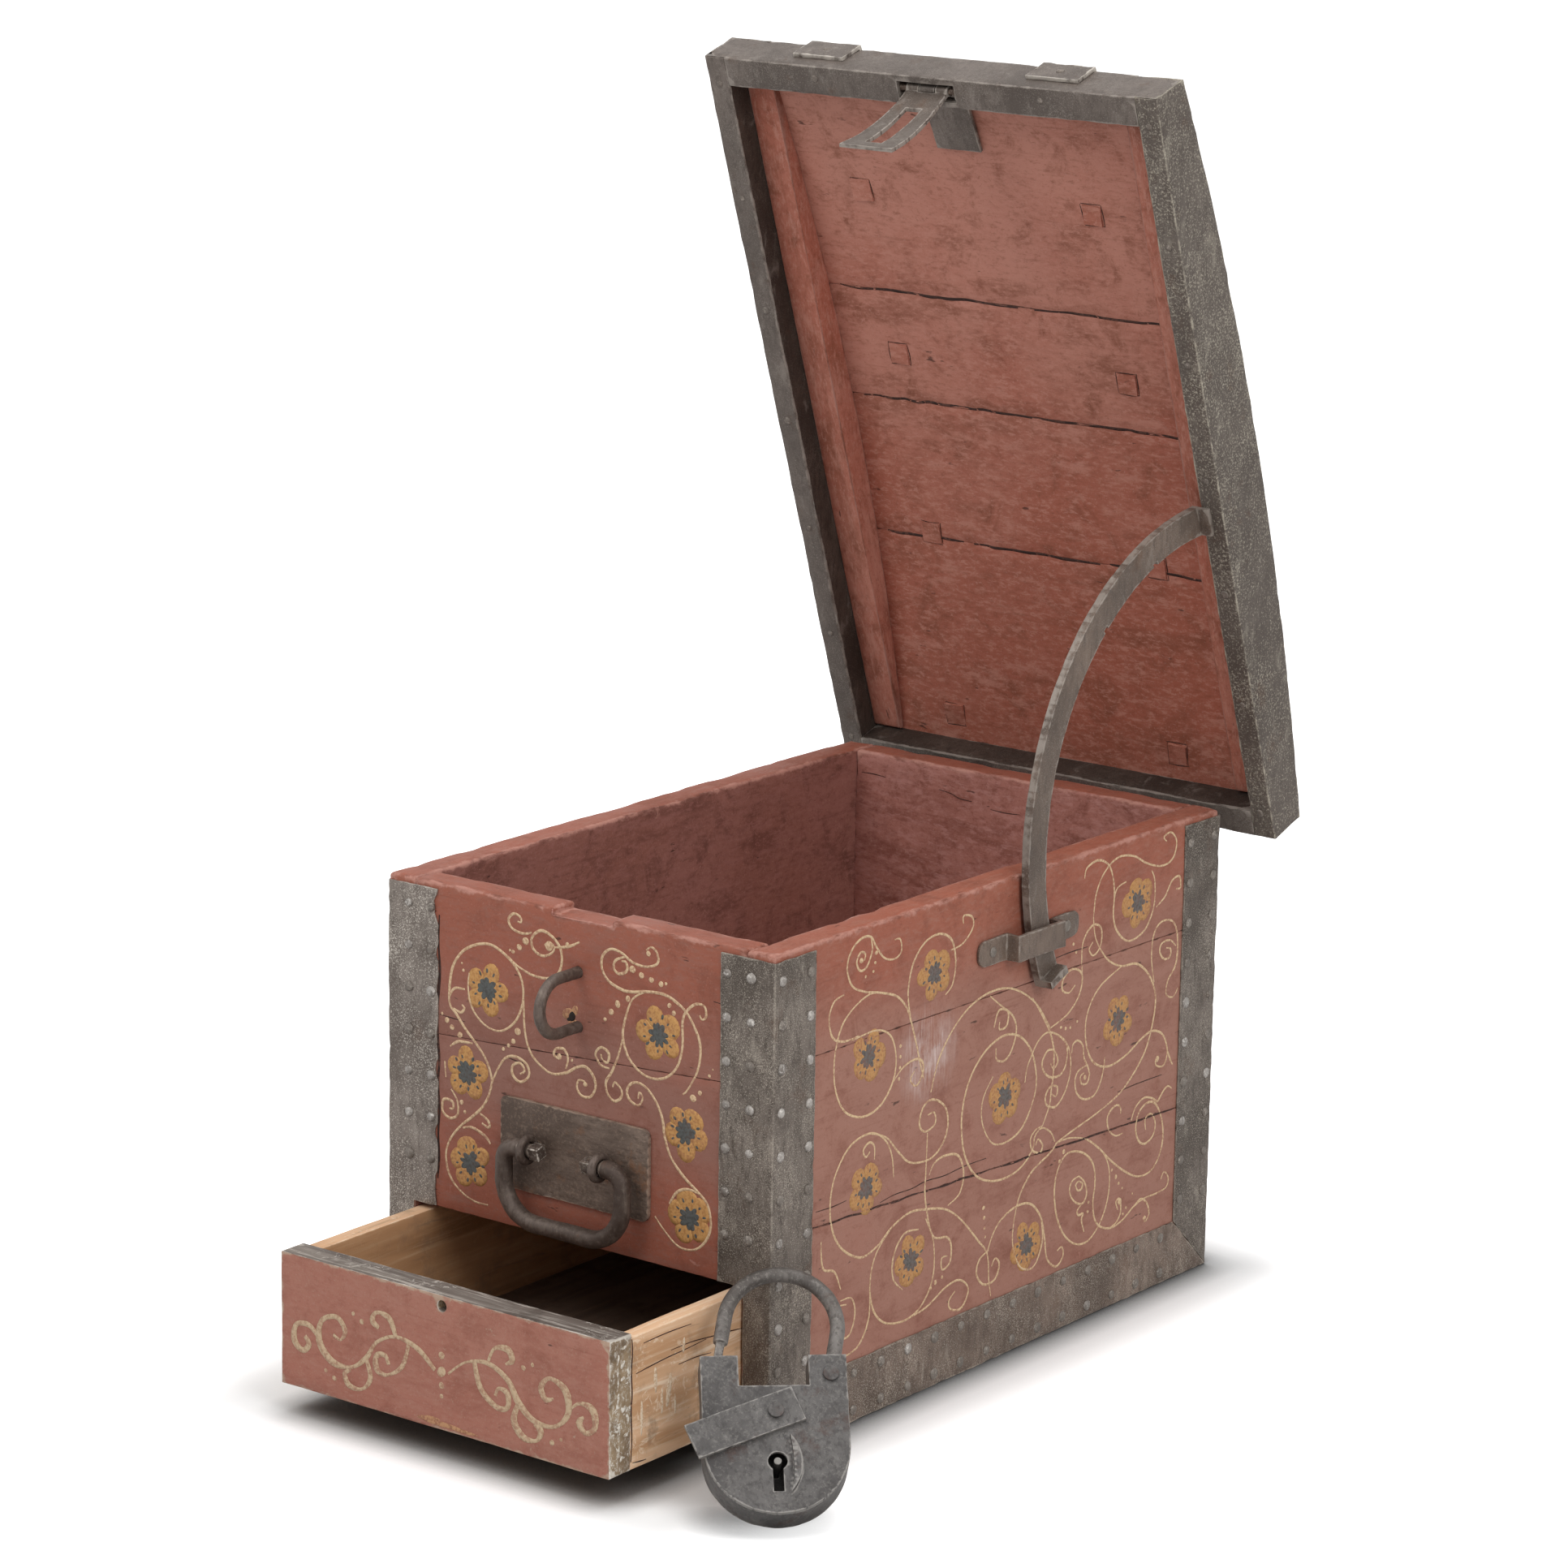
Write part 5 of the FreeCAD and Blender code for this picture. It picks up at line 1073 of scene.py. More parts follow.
rivetHeads = {"Radius": 8.0 * mm, "Height": 3.0 * mm, "Spin": fullTurn, "Spread": 0.08, "Dent": 1.6 * mm,
              "Seed": 5, "Finish": lidNailIron}
roves = {"Radius": 8.6 * mm, "Height": 1.0 * mm, "Spin": 0.1, "Spread": 0.1, "Dent": 1.2 * mm, "Seed": 6,
         "Finish": redRove}
rivetSink = {"rove": 0.9, "head": 2.2}  # how far in from a rivet's ends they sit
innerPlaces, outerPlaces = [], []
for group in islands("lid_rivets"):
    shut = np.array([shutPlace(Vector(point)) for point in group])
    low, high = shut.min(0), shut.max(0)
    x, y = (low[0] + high[0]) / 2, (low[1] + high[1]) / 2
    innerPlaces.append(openPlace(x, y, low[2] + rivetSink["rove"]))
    outerPlaces.append(openPlace(x, y, high[2] - rivetSink["head"]))
roveMesh = growHeads(roveTree, roves, innerPlaces, [lidDown] * len(innerPlaces))
headMesh = growHeads(cloutTree, rivetHeads, outerPlaces, [-lidDown] * len(outerPlaces))
rovePiece = joinMeshes("lid_roves", [roveMesh])
rovePiece.data.set_sharp_from_angle(angle=math.radians(angles["rove"]))
settle(rovePiece, "lid", red, "lid_rivets")
settle(joinMeshes("lid_rivet_heads", [headMesh]), "lid", wrought, "lid_rivets")
print("stage: nails and rivets")

# Brushwork: strokes and dabs of paint laid on the worn walls
layInputs = [("Wall", "Object", None), ("Outward", "Vector", None), ("Face", "Float", 0.0)]
drapeFrom, drapeReach = 0.008, 0.013  # a wall is looked for from this far outside its face, and this deep
wobbleGrain = 190.0
crackWidth, splitWidth = 0.5, 1.3
dotForm = {"spin": 3.0, "long": (0.9, 1.1), "wide": (0.85, 1.1), "thick": 0.32}
strokeForm = {"end": 0.6, "curve": 0.6, "uneven": (0.86, 1.14), "penLeast": 0.5, "penMore": 0.8}


def drapeGroup():
    tree, given, out = growGroup("drape", layInputs)
    place = geo(tree, "InputPosition")
    height = calc(tree, "SUBTRACT", vecMath(tree, "DOT_PRODUCT", place, given["Outward"], "Value"),
                  given["Face"])
    rise = scaled(tree, given["Outward"], calc(tree, "SUBTRACT", drapeFrom, height))
    wires = {"Target Geometry": geo(tree, "ObjectInfo", {"Object": given["Wall"]}, "Geometry"),
             "Source Position": vecMath(tree, "ADD", place, rise), "Ray Length": drapeReach,
             "Ray Direction": scaled(tree, given["Outward"], -1.0)}
    ray = addNode(tree, "GeometryNodeRaycast", wires).outputs
    landed = vecMath(tree, "ADD", ray["Hit Position"], scaled(tree, given["Outward"], height))
    wires = {"Geometry": given["Geometry"], "Selection": ray["Is Hit"], "Position": landed}
    return output(tree, out, Geometry=geo(tree, "SetPosition", wires))


def draped(tree, given, geometry):
    wires = {"Geometry": geometry, **{label: given[label] for label, kind, value in layInputs}}
    return geo(tree, "Group", wires, node_tree=drape)


def brushTree():
    sizes = [("Step", "Float", 1.6 * mm), ("Flatness", "Float", 0.16)]
    tree, given, out = growGroup("brushStrokes", layInputs + sizes + [finishInput])
    path = geo(tree, "MeshToCurve", {"Mesh": given["Geometry"]})
    path = geo(tree, "CurveSplineType", {"Curve": path}, spline_type="CATMULL_ROM")
    path = geo(tree, "SetSplineResolution", {0: path, "Resolution": 12})
    path = geo(tree, "ResampleCurve", {"Curve": path, "Length": given["Step"]}, mode="LENGTH")
    path = geo(tree, "SetCurveNormal", {"Curve": path, "Normal": given["Outward"]}, mode="FREE")
    ring = geo(tree, "CurvePrimitiveCircle", {"Resolution": 6, "Radius": 1.0}, mode="RADIUS")
    flat = wired(tree, "ShaderNodeCombineXYZ", {0: given["Flatness"], 1: 1.0, 2: 1.0})
    ring = geo(tree, "Transform", {"Geometry": ring, "Scale": flat})
    ribbon = geo(tree, "CurveToMesh", {"Curve": path, "Profile Curve": ring, "Fill Caps": True,
                                       "Scale": named(tree, "wide", "FLOAT")})
    return output(tree, out, Geometry=coated(tree, given, draped(tree, given, ribbon)))


def dabTree():
    tree, given, out = growGroup("brushDabs", layInputs + [("Wobble", "Float", 1.0 * mm), finishInput])
    lens = geo(tree, "MeshUVSphere", {"Segments": 12, "Rings": 5, "Radius": 1.0})
    turn = turnedTo(tree, given["Outward"], named(tree, "spin", "FLOAT"))
    dabs = copies(tree, given, lens, turn, named(tree, "size", "FLOAT_VECTOR"))
    push = jolt(tree, wobbleGrain, given["Wobble"])
    push = vecMath(tree, "SUBTRACT", push, vecMath(tree, "PROJECT", push, given["Outward"]))
    dabs = geo(tree, "SetPosition", {"Geometry": dabs, "Offset": push})
    return output(tree, out, Geometry=coated(tree, given, draped(tree, given, dabs)))


drape = drapeGroup()
strokeTree, spotTree = brushTree(), dabTree()
brushSeed = 31
dice = random.Random(brushSeed)


def strokeHost(name, strokes, onWall, width, pen=None):  # with a pen, upright parts of a stroke are broad
    places, edges, wides = [], [], []
    for stroke in strokes:
        first, last = len(places), len(stroke) - 1
        for index, point in enumerate(stroke):
            bulge = max(0.0, math.sin(math.pi * index / last)) ** strokeForm["curve"]
            swell = strokeForm["end"] + (1 - strokeForm["end"]) * bulge
            if pen:
                before, after = stroke[max(0, index - 1)], stroke[min(last, index + 1)]
                way = math.atan2(after[1] - before[1], after[0] - before[0])
                swell *= strokeForm["penLeast"] + strokeForm["penMore"] * abs(math.sin(way - pen))
            places.append(onWall(*point))
            wides.append(width * mm * swell * dice.uniform(*strokeForm["uneven"]))
            if index:
                edges.append((first + index - 1, first + index))
    return pointHost(name, places, {"wide": wides}, edges)


flower = {"jitter": 0.16, "heart": 6.8, "heartThick": 0.2}
petals = {"count": 5, "phase": 0.0, "turn": 0.12, "out": 11.8, "near": 0.94, "far": 1.06, "long": 8.8,
          "wide": 9.0, "thick": 0.14}
rays = {"count": 9, "phase": 0.0, "turn": 0.2, "out": 6.2, "near": 0.84, "far": 1.16, "long": 4.0,
        "wide": 2.6, "thick": 0.2}
seeds = {"count": 10, "phase": 0.4, "turn": 0.15, "out": 12.4, "near": 0.92, "far": 1.1, "long": 2.0,
         "wide": 1.1, "thick": 0.24}


def ringDabs(a, b, start, ring):  # a dab: its place, spin, length, width and thickness
    dabs = []
    for index in range(ring["count"]):
        angle = start + math.tau * (index + ring["phase"]) / ring["count"]
        angle += dice.uniform(-ring["turn"], ring["turn"])
        out = ring["out"] * dice.uniform(ring["near"], ring["far"])
        size = [ring[label] * dice.uniform(1 - flower["jitter"], 1 + flower["jitter"])
                for label in ("long", "wide")]
        dabs.append((a + out * math.cos(angle), b + out * math.sin(angle), angle, *size, ring["thick"]))
    return dabs


def flowerDabs(centres):  # petals, then the dark heart with its rays and seeds
    light, hearts = [], []
    for a, b in centres:
        start = dice.uniform(0, math.tau)
        light += ringDabs(a, b, start, petals)
        hearts.append((a, b, start, flower["heart"], flower["heart"], flower["heartThick"]))
        hearts += ringDabs(a, b, start, rays) + ringDabs(a, b, start, seeds)
    return light, hearts


def roundDabs(dots):
    return [(a, b, dice.uniform(0, dotForm["spin"]), r * dice.uniform(*dotForm["long"]),
             r * dice.uniform(*dotForm["wide"]), dotForm["thick"]) for a, b, r in dots]


def dabHost(name, dabs, wall):
    return pointHost(name, [wall["place"](*dab[:2]) for dab in dabs],
                     {"spin": [dab[2] + wall["quarter"] for dab in dabs],
                      "size": [[length * mm for length in dab[3:]] for dab in dabs]})


def wallTarget(name, nodes):
    work = bmesh.new()
    for node in nodes:
        work.from_mesh(bpy.data.objects[node + "_worn"].data)
    return linked(name, meshFrom(name, work))


def paintWall(name, body, nodes, wall, paints=(None, None, None)):
    target = wallTarget(name + "_target", nodes.split())
    lay = {"Wall": target, "Outward": wall["outward"], "Face": wall["face"] * mm}
    meshes = []

    def layOn(paint, host, tree):
        meshes.append(grow(host, tree, {**lay, "Finish": paint}))

    light, hearts = flowerDabs(wall.get("flowers", ()))
    if "strokes" in wall:
        strokes = strokeHost(name, wall["strokes"], wall["place"], wall["width"], wall.get("pen"))
        layOn(paints[0], strokes, strokeTree)
    dots = roundDabs(wall.get("dots", ()))
    for paint, dabs in [(paints[0], dots), (paints[1], light), (paints[2], hearts), *wall.get("spots", ())]:
        if dabs:
            layOn(paint, dabHost(name, dabs, wall), spotTree)
    for label, width in (("cracks", crackWidth), ("splits", wall.get("splitWidth", splitWidth))):
        if label in wall:
            layOn(crackDark, strokeHost(name, wall[label], wall["place"], width), strokeTree)
    bpy.data.objects.remove(target)
    settle(joinMeshes(name, meshes), body, wall.get("slot", red))


def wallFace(axis, sign, face):  # a wall that looks along x or y: its points are given in mm along it and up
    outward = (sign, 0.0, 0.0) if axis == 0 else (0.0, sign, 0.0)
    at = sign * face * mm
    place = (lambda a, b: (at, a * mm, b * mm)) if axis == 0 else (lambda a, b: (a * mm, at, b * mm))
    return {"outward": outward, "face": face, "place": place, "quarter": math.pi / 2 if axis == 0 else 0.0}


frontWall = {
    **wallFace(1, -1.0, 276.5), "width": 1.25,
    "flowers": [(-83.4, 293), (-102, 227), (-99, 160), (74, 289), (99, 223), (103, 161)],
    "strokes": [
        [(-100, 302), (-101, 290), (-97, 276), (-85, 266), (-70, 264.5), (-56, 275), (-49.5, 292),
         (-52, 308), (-64, 320), (-82, 326.5), (-102, 320), (-114, 307), (-118, 292), (-118.5, 276),
         (-112, 269), (-104, 260), (-93, 250), (-84, 240), (-79, 228), (-80, 218), (-86, 206), (-96, 196),
         (-108, 186), (-118, 174), (-122, 162), (-119, 148), (-110, 138), (-96, 132), (-82, 131.5)],
        [(-49.5, 300), (-49, 285), (-48, 270), (-45, 258), (-38, 249), (-24, 242), (-10, 245), (0, 251),
         (8, 253), (15, 248), (17.5, 240), (13, 232), (5, 231), (0.5, 236), (2, 242), (8, 242)],
        [(-64, 321), (-54, 315), (-40, 311), (-26, 311.5), (-17, 317), (-14, 327), (-16, 336), (-24, 343),
         (-34, 345), (-42, 338), (-40, 330), (-32, 327), (-24, 330), (-21, 335), (-26, 338), (-30, 335)],
        [(-42, 342), (-50, 340), (-60, 342), (-63.5, 348), (-59, 353), (-53, 352), (-51.5, 348), (-55, 348)],
        [(-21, 335), (-8, 338), (2, 343)],
        [(62, 348), (67, 351), (72, 347), (72, 340), (62, 336), (50, 337), (40, 342), (30, 343), (23, 337),
         (22.4, 328), (28, 320), (40, 315.6), (50, 315.6), (62, 318), (78, 319), (90, 315), (100, 308),
         (109, 294), (111, 282), (108, 268), (100, 254), (96, 250)],
        [(44, 340), (35, 336), (33, 330), (38, 326.5), (45, 330), (44, 336), (40, 336)],
        [(62, 318), (50, 310), (43, 292), (42, 280), (48, 266), (62, 257), (78, 258), (90, 268), (95, 284),
         (95, 302), (98, 310), (106, 317), (114, 317), (115.6, 310), (112, 307), (110, 310)],
        [(42, 282), (38, 268), (32, 254), (27, 246), (28, 238), (34, 233), (40, 236), (41, 242), (35, 247),
         (33, 243)],
        [(56, 239), (57, 244), (60, 240), (56, 234), (48, 237), (46, 244), (52, 250), (62, 249), (72, 240),
         (78, 228), (80, 216), (86, 202), (98, 190), (110, 182), (119, 174), (122, 160), (118, 148),
         (108, 139), (94, 138), (82, 146), (72, 156)],
        [(85, 168), (92, 178), (102, 182), (114, 180)],
        [(-10, 248), (-8, 256), (-12, 262), (-19, 261), (-21, 256), (-16, 254)],
        [(-80, 220), (-74, 234), (-66, 245), (-56, 248), (-46, 244), (-44, 236), (-52, 230), (-59, 234),
         (-59, 241), (-52, 244), (-48, 239), (-52, 236)],
        [(30, 256), (22, 257), (17, 264), (22, 270), (29, 267), (28, 260), (23, 261), (22, 265)],
        [(-117, 212), (-111, 204), (-111, 194), (-118, 190), (-125, 194), (-124, 203), (-116, 203),
         (-115, 198), (-119, 197)],
        [(-119, 280), (-114, 288), (-104, 289)],
        [(-115, 273), (-108, 271), (-104.5, 275), (-107, 277)],
        [(-106, 185), (-97, 187), (-85, 183), (-80, 178)],
        [(-90, 199), (-82, 195), (-81, 190), (-88, 192)],
        [(-118, 244), (-110, 249), (-97, 250)],
        [(-123, 232), (-122, 220)],
    ],
    "dots": [
        (-47.6, 335, 3), (-53.4, 329.4, 2.5), (-59, 325, 1.5), (-62, 325.6, 1), (-26, 335, 4), (-9, 339, 2),
        (50, 332, 3), (58, 329, 2.5), (67, 327.4, 2.5), (75.4, 326, 2), (79.6, 327, 1.3), (46, 310, 2.3),
        (37, 304.4, 2.8), (31, 297.6, 2.3), (25.6, 291, 1.5), (83, 312, 2), (87, 307, 2), (-54.4, 267, 2.7),
        (-58.6, 259, 2), (-63, 255, 1.7), (-68, 251.4, 1.6), (-125.6, 267, 1.2), (-121, 263, 2),
        (-116.4, 258.4, 2.2), (-109, 254, 2.5), (-4.4, 255.4, 1.3), (105, 249, 3), (111, 254, 2),
        (119, 268, 1.2), (122, 273, 0.8), (-107, 308, 1), (-105.6, 303, 1.2), (-107, 204, 2),
        (-104, 197.4, 1.3), (8, 240, 2), (-16, 256, 2.2), (64, 346, 2.2)
    ]}
# a bare splinter patch round an old hole, whose dark dabs are painted shade
frontWall["spots"] = [
    (splinter, [(-8, 289, 0.4, 6.0, 4.2, 0.16), (-2, 292, 1.2, 4.5, 3.0, 0.16),
                (-4, 283, 0.2, 5.0, 2.6, 0.16)]),
    (paintedHoleShade, [(-4.6, 287.4, 1.2, 4.4, 3.2, 0.3), (-7.4, 285, 0.5, 2.0, 1.4, 0.3)])]
frontWall["cracks"] = [[(-128, 266), (-118, 265.4), (-104, 264.8)], [(-64, 246), (-58, 245.2), (-49, 244.6)],
                       [(122, 322), (128, 321.6)]]
frontWall["splits"] = [[(-128.4, 340), (-129, 318), (-127.6, 300), (-128.8, 284), (-130.6, 268), (-130, 250),
                        (-128.2, 232), (-129.6, 214), (-128, 196), (-129.4, 176), (-128.4, 158),
                        (-130, 142)]]
sideWall = {
    **wallFace(0, 1.0, 175.0), "width": 1.05,
    "flowers": [(-89.4, 312), (-167, 268), (-167, 171), (-111.4, 103), (1.8, 199), (34, 77), (169.5, 312),
                (147.4, 225)],
    "strokes": [
        [(-138.5, 347), (-132, 346), (-130.5, 337), (-138, 333), (-150, 336), (-160, 346), (-167, 355),
         (-178, 356), (-189, 350), (-194, 338.6), (-188, 324), (-173, 316.5), (-155.5, 312), (-135, 305),
         (-123, 294.5), (-117, 283), (-110, 265), (-104, 247), (-100, 236)],
        [(-167, 355), (-165, 345), (-171, 334), (-179, 333), (-183, 340), (-179, 346), (-173, 344),
         (-174, 339)],
        [(-188, 284), (-158.5, 285), (-141, 277), (-134, 259), (-138, 241.5), (-152.6, 228), (-173, 225),
         (-194, 234), (-205.5, 253), (-207, 274), (-201, 294.5), (-188, 306), (-169, 313), (-155.5, 312)],
        [(-197, 319.5), (-208.5, 316.5), (-214, 306), (-210, 291.5), (-197, 285.6), (-179, 285.6)],
        [(-138, 241.5), (-126, 250), (-111.5, 253), (-102.6, 250), (-101, 241.5), (-108.5, 233),
         (-116, 238.6), (-111.5, 244.5)],
        [(-116, 280), (-121, 303), (-116, 324), (-102.6, 337), (-85, 340), (-70, 333), (-64, 316.5),
         (-67, 300), (-76, 293)],
        [(-70, 325), (-55.5, 327), (-44, 336), (-45, 344.5), (-55.5, 347.4), (-55.5, 341.5)],
        [(-134, 171), (-137, 189), (-147, 203), (-164, 210.6), (-188, 206), (-205.5, 185.6), (-208.5, 159),
         (-197, 135.6), (-173, 121), (-152.6, 124), (-135, 134), (-114, 139.5), (-94, 137), (-70, 131),
         (-50, 118), (-29, 97.4), (-16, 83), (-13, 62), (-10, 49)],
        [(-164, 210.6), (-144, 203), (-129, 188.6), (-114, 177), (-91, 174), (-76, 181), (-69, 194.5),
         (-73, 209), (-88, 218), (-99.6, 215), (-104, 203), (-97, 196), (-85, 199), (-86, 207.7),
         (-94, 207.7)],
        [(-94, 194.5), (-95, 168), (-95, 144.5), (-85, 115), (-67, 109), (-61.4, 100), (-63, 88.6),
         (-72, 85.6), (-73, 94.5), (-66, 94.5)],
        [(-91, 162), (-85, 169.5), (-72, 172), (-55.5, 168), (-48, 153), (-52.6, 138.6), (-67, 133)],
        [(-91, 224), (-82, 247), (-64, 266.5), (-44, 278), (-20, 283), (3, 281), (24, 272), (41.5, 259),
         (58, 238.6)],
        [(34, 267), (43, 256), (52, 244), (58, 235), (63, 223), (64, 210), (63, 198), (61, 188), (60, 180),
         (55, 171), (51, 165)],
        [(27, 204), (29, 214), (35, 223), (43, 232), (55, 236), (70, 230), (80, 221), (80, 208), (74, 200),
         (61, 200), (51, 207), (49, 215), (56, 222), (65, 219), (69, 211), (64, 206), (60, 211)],
        [(70, 230), (82, 219), (86, 204), (83, 191), (75, 180), (66, 176), (56, 180), (54, 187), (60, 193),
         (69, 191), (68, 184), (62, 187)],
        [(51, 165), (42, 164), (36, 158), (39, 149), (49, 145), (52, 150), (46, 156), (43, 152)],
        [(-14, 218), (-26, 203), (-26, 185.6), (-14, 168), (3, 163.6), (24, 169.5), (38.6, 188.6),
         (41.5, 206), (34, 227), (18, 241.5), (-2.6, 246), (-26, 238.6), (-44, 221), (-52, 197.4),
         (-50, 174), (-41, 156), (-26, 143), (-2.6, 136.5), (21, 138.6), (38.6, 149), (41.5, 159),
         (50, 163.6), (62, 157.7), (68, 149)],
        [(-20, 280), (-5.5, 269.5), (9, 259), (14.5, 247), (9, 233), (0, 227), (-10, 230), (-11, 238.6)],
        [(-14, 255), (-8.5, 266.5), (3, 263.6), (2, 253), (-7, 252), (-7, 257.7)],
        [(58, 238.6), (80, 244.5), (94.5, 256), (97.4, 271), (85.6, 278), (74, 274), (72, 265), (81, 260.6),
         (88.6, 265)],
        [(97.4, 271), (97.4, 294.5), (109, 306), (121, 302), (121, 288.6), (112, 282.7), (106, 288.6),
         (110.6, 293)],
        [(110.6, 312), (113.6, 330), (124, 344.5), (141.5, 352), (162, 349), (180, 340), (200, 334),
         (215, 337), (219.5, 349), (212, 357.7), (202, 356), (206, 352)],
        [(153, 331), (140, 327), (137, 309), (143, 294.5), (159, 284), (180, 288.6), (191.5, 305),
         (191.5, 324), (187, 333)],
        [(97.4, 344.5), (100, 352), (115, 355), (130, 347.4), (137, 330), (137, 309)],
        [(110.6, 312), (113.6, 297), (121, 285.6), (133, 274), (150, 266.5), (171, 263.6), (188.6, 250),
         (197.4, 230), (191.5, 203), (180, 185.6), (156, 168), (127, 159), (91.5, 152), (71, 147.4)],
        [(150, 266.5), (121, 256), (106, 238.6), (105, 218), (115, 200), (135.6, 191.5), (159, 194.5),
         (180, 203), (194.5, 206), (209, 200), (216.5, 185.6), (212, 175), (202, 177), (200.4, 182.7)],
        [(194.5, 244.5), (190, 265), (193, 282.7), (203, 290), (218, 287), (225, 274), (224, 253),
         (213.6, 241.5), (212, 231), (222, 227), (228, 232.7)],
        [(223, 267), (215, 273), (204, 273), (201, 267), (207, 260), (215, 260), (216, 266), (210, 268)],
        [(217, 185), (220, 179), (224, 173)],
        [(-157.5, 190), (-158, 200), (-164, 204), (-171, 200), (-168, 194), (-163, 197)],
        [(194.5, 303), (206, 309), (215, 319.5), (225, 321), (227, 312), (221, 312)],
        [(-219, 144.5), (-216, 124), (-202.6, 118), (-195, 103)],
        [(-195, 94.5), (-182, 93), (-177.6, 80), (-183.5, 66.5), (-195, 66.5), (-201, 78), (-198, 90),
         (-188, 90)],
        [(-135, 134), (-154, 118), (-160, 97.4), (-155.5, 77), (-141, 63.6), (-117, 59), (-97, 65),
         (-83.5, 82.7), (-83.5, 109), (-94, 130)],
        [(-117, 59), (-91, 62), (-67, 71), (-50, 72), (-39, 62), (-47, 50), (-60, 52), (-63, 59),
         (-55.5, 65)],
        [(-102.6, 124), (-120, 125), (-132, 112), (-132, 94.5), (-120, 82.7)],
        [(-192, 51), (-173, 55), (-161.4, 71), (-160, 88.6)],
        [(-14, 85.6), (-26, 81), (-29, 71), (-20, 60.6), (-5.5, 60.6), (0, 71), (-5.5, 77), (-10, 72)],
        [(-16, 84), (-8.5, 97.4), (3, 106), (21, 110.6), (38.6, 107.7), (52, 94.5), (57.7, 77), (62, 59),
         (74, 50), (82.7, 56), (81, 63.6), (75, 62)],
        [(18, 103), (16.5, 82.7), (27, 62), (44.5, 57.7), (55, 74), (53, 91.5)],
        [(18, 102), (24, 118), (38.6, 132.7), (62, 141.5), (71, 147.4)],
        [(109, 141), (130, 127), (141, 111), (142, 92), (136, 76), (126, 65), (113, 59), (97, 62), (82, 74),
         (72, 92), (69, 112), (73, 126), (83, 135), (98, 134), (112, 127), (121, 116), (123, 102), (121, 90),
         (123, 76), (131, 67), (145, 62), (161, 64), (176, 71), (190, 74), (209, 74), (221, 76), (223, 83),
         (217, 89), (213, 84)],
        [(101, 114), (92, 112), (89, 105), (95, 96), (106, 91), (112, 97), (109, 107), (101, 114)],
        [(101, 110), (97, 108), (100, 103), (105, 103), (106, 107), (101, 110)],
        [(106, 91), (100, 87), (102, 83), (108, 83), (106, 78), (110, 68)],
        [(69, 147), (87, 147), (109, 141), (126, 130), (143, 116), (162, 103), (181, 94), (198, 94),
         (209, 103), (214, 117), (211, 134), (202, 147), (191, 150), (180, 145), (176, 133), (181, 122),
         (190, 118), (200, 122), (203, 131), (197, 140), (189, 138), (190, 129)],
        [(170, 141), (175, 150), (186, 155), (198, 152), (205, 148), (211, 153), (218, 157), (224, 154)],
        [(176, 71), (186, 75), (195, 69), (198, 60), (193, 55), (190, 59)],
        [(145, 62), (154, 65), (159, 72), (157, 82), (152, 81), (155, 74)],
        [(155, 150), (155, 154), (150, 158), (142, 156), (137, 150), (140, 140), (149, 134), (158, 134)],
        [(87, 213), (88, 219), (94, 221), (101, 216), (103, 206), (108, 198), (111, 191), (108, 185),
         (101, 186), (99, 192), (104, 194)],
        [(107, 199), (96, 197), (92, 190), (95, 180), (105, 173), (118, 173), (126, 181), (130, 191),
         (131, 200)],
    ],
    "dots": [
        (85, 297, 1.6), (89, 290, 1.3), (72, 236, 1.4), (78, 234, 1.5), (84, 233, 1.2), (93, 236, 1.2),
        (80, 138, 2.0), (75, 132, 1.8), (145, 108, 1.2), (151, 101, 1.8), (155, 95, 1.3), (160, 90, 1.0),
        (162, 69, 1.2), (166, 73, 1.2), (174, 82, 1.0), (114, 83, 1.4), (115, 90, 1.2), (157, 80, 2.6),
        (192, 58, 2.2), (203, 182, 2.6), (105, 190, 2.0), (-22, 120, 1.8), (-21, 112, 1.6), (-20, 104, 1.4),
        (-19, 97, 1.1), (-86, 75, 1.6), (-80, 78, 1.8), (-72, 80, 1.4), (-160, 342, 1.6), (-161, 335, 1.4),
        (-163, 329, 1.2), (-172, 327, 1.2), (-129, 267, 1.4), (-129, 259, 1.6), (-129, 251, 1.4),
        (-130, 243, 1.6), (-177.5, 340, 2.2)
    ]}
endNear = 1.0  # in mm, within which a corner lies at the end of its plank


def jointHeight(node, y):  # the top edge of a side plank, which slopes from front to back
    corners = [vert.co / mm for vert in frame["nodes"][node].data.vertices]
    front, back = min(corner.y for corner in corners), max(corner.y for corner in corners)
    ends = [max(corner.z for corner in corners if abs(corner.y - end) < endNear) for end in (front, back)]
    return ends[0] + (ends[1] - ends[0]) * (y - front) / (back - front)


lowSplit = [[(-229, 0.6), (-206, -0.4), (-188, 0.7), (-170, -0.5), (-152, 0.8), (-130, -0.3), (-112, 0.9),
             (-92, -0.4)],
            [(-94, 0.5), (-70, -0.6), (-52, 0.6), (-36, -0.2), (-14, 0.5)],
            [(-6, 0.2), (14, -0.5), (36, 0.5), (62, -0.2)],
            [(70, 0.3), (96, -0.4), (122, 0.3), (150, -0.3)],
            [(156, 0.2), (180, -0.3), (204, 0.3), (229, 0.0)]]
sideWall["splitWidth"] = 0.85
sideWall["splits"] = [[(y, jointHeight("right_plank_bottom", y) + off) for y, off in stroke]
                      for stroke in lowSplit]
sideWall["cracks"] = [[(-150, 156), (-132, 157.6), (-112, 157), (-94, 158.4), (-72, 157), (-48, 158),
                       (-20, 157.4)],
                      [(-226, 168), (-206, 167), (-190, 167.6)], [(60, 291), (82, 291.6), (104, 291)],
                      [(150, 168), (176, 168.6), (210, 168)]]
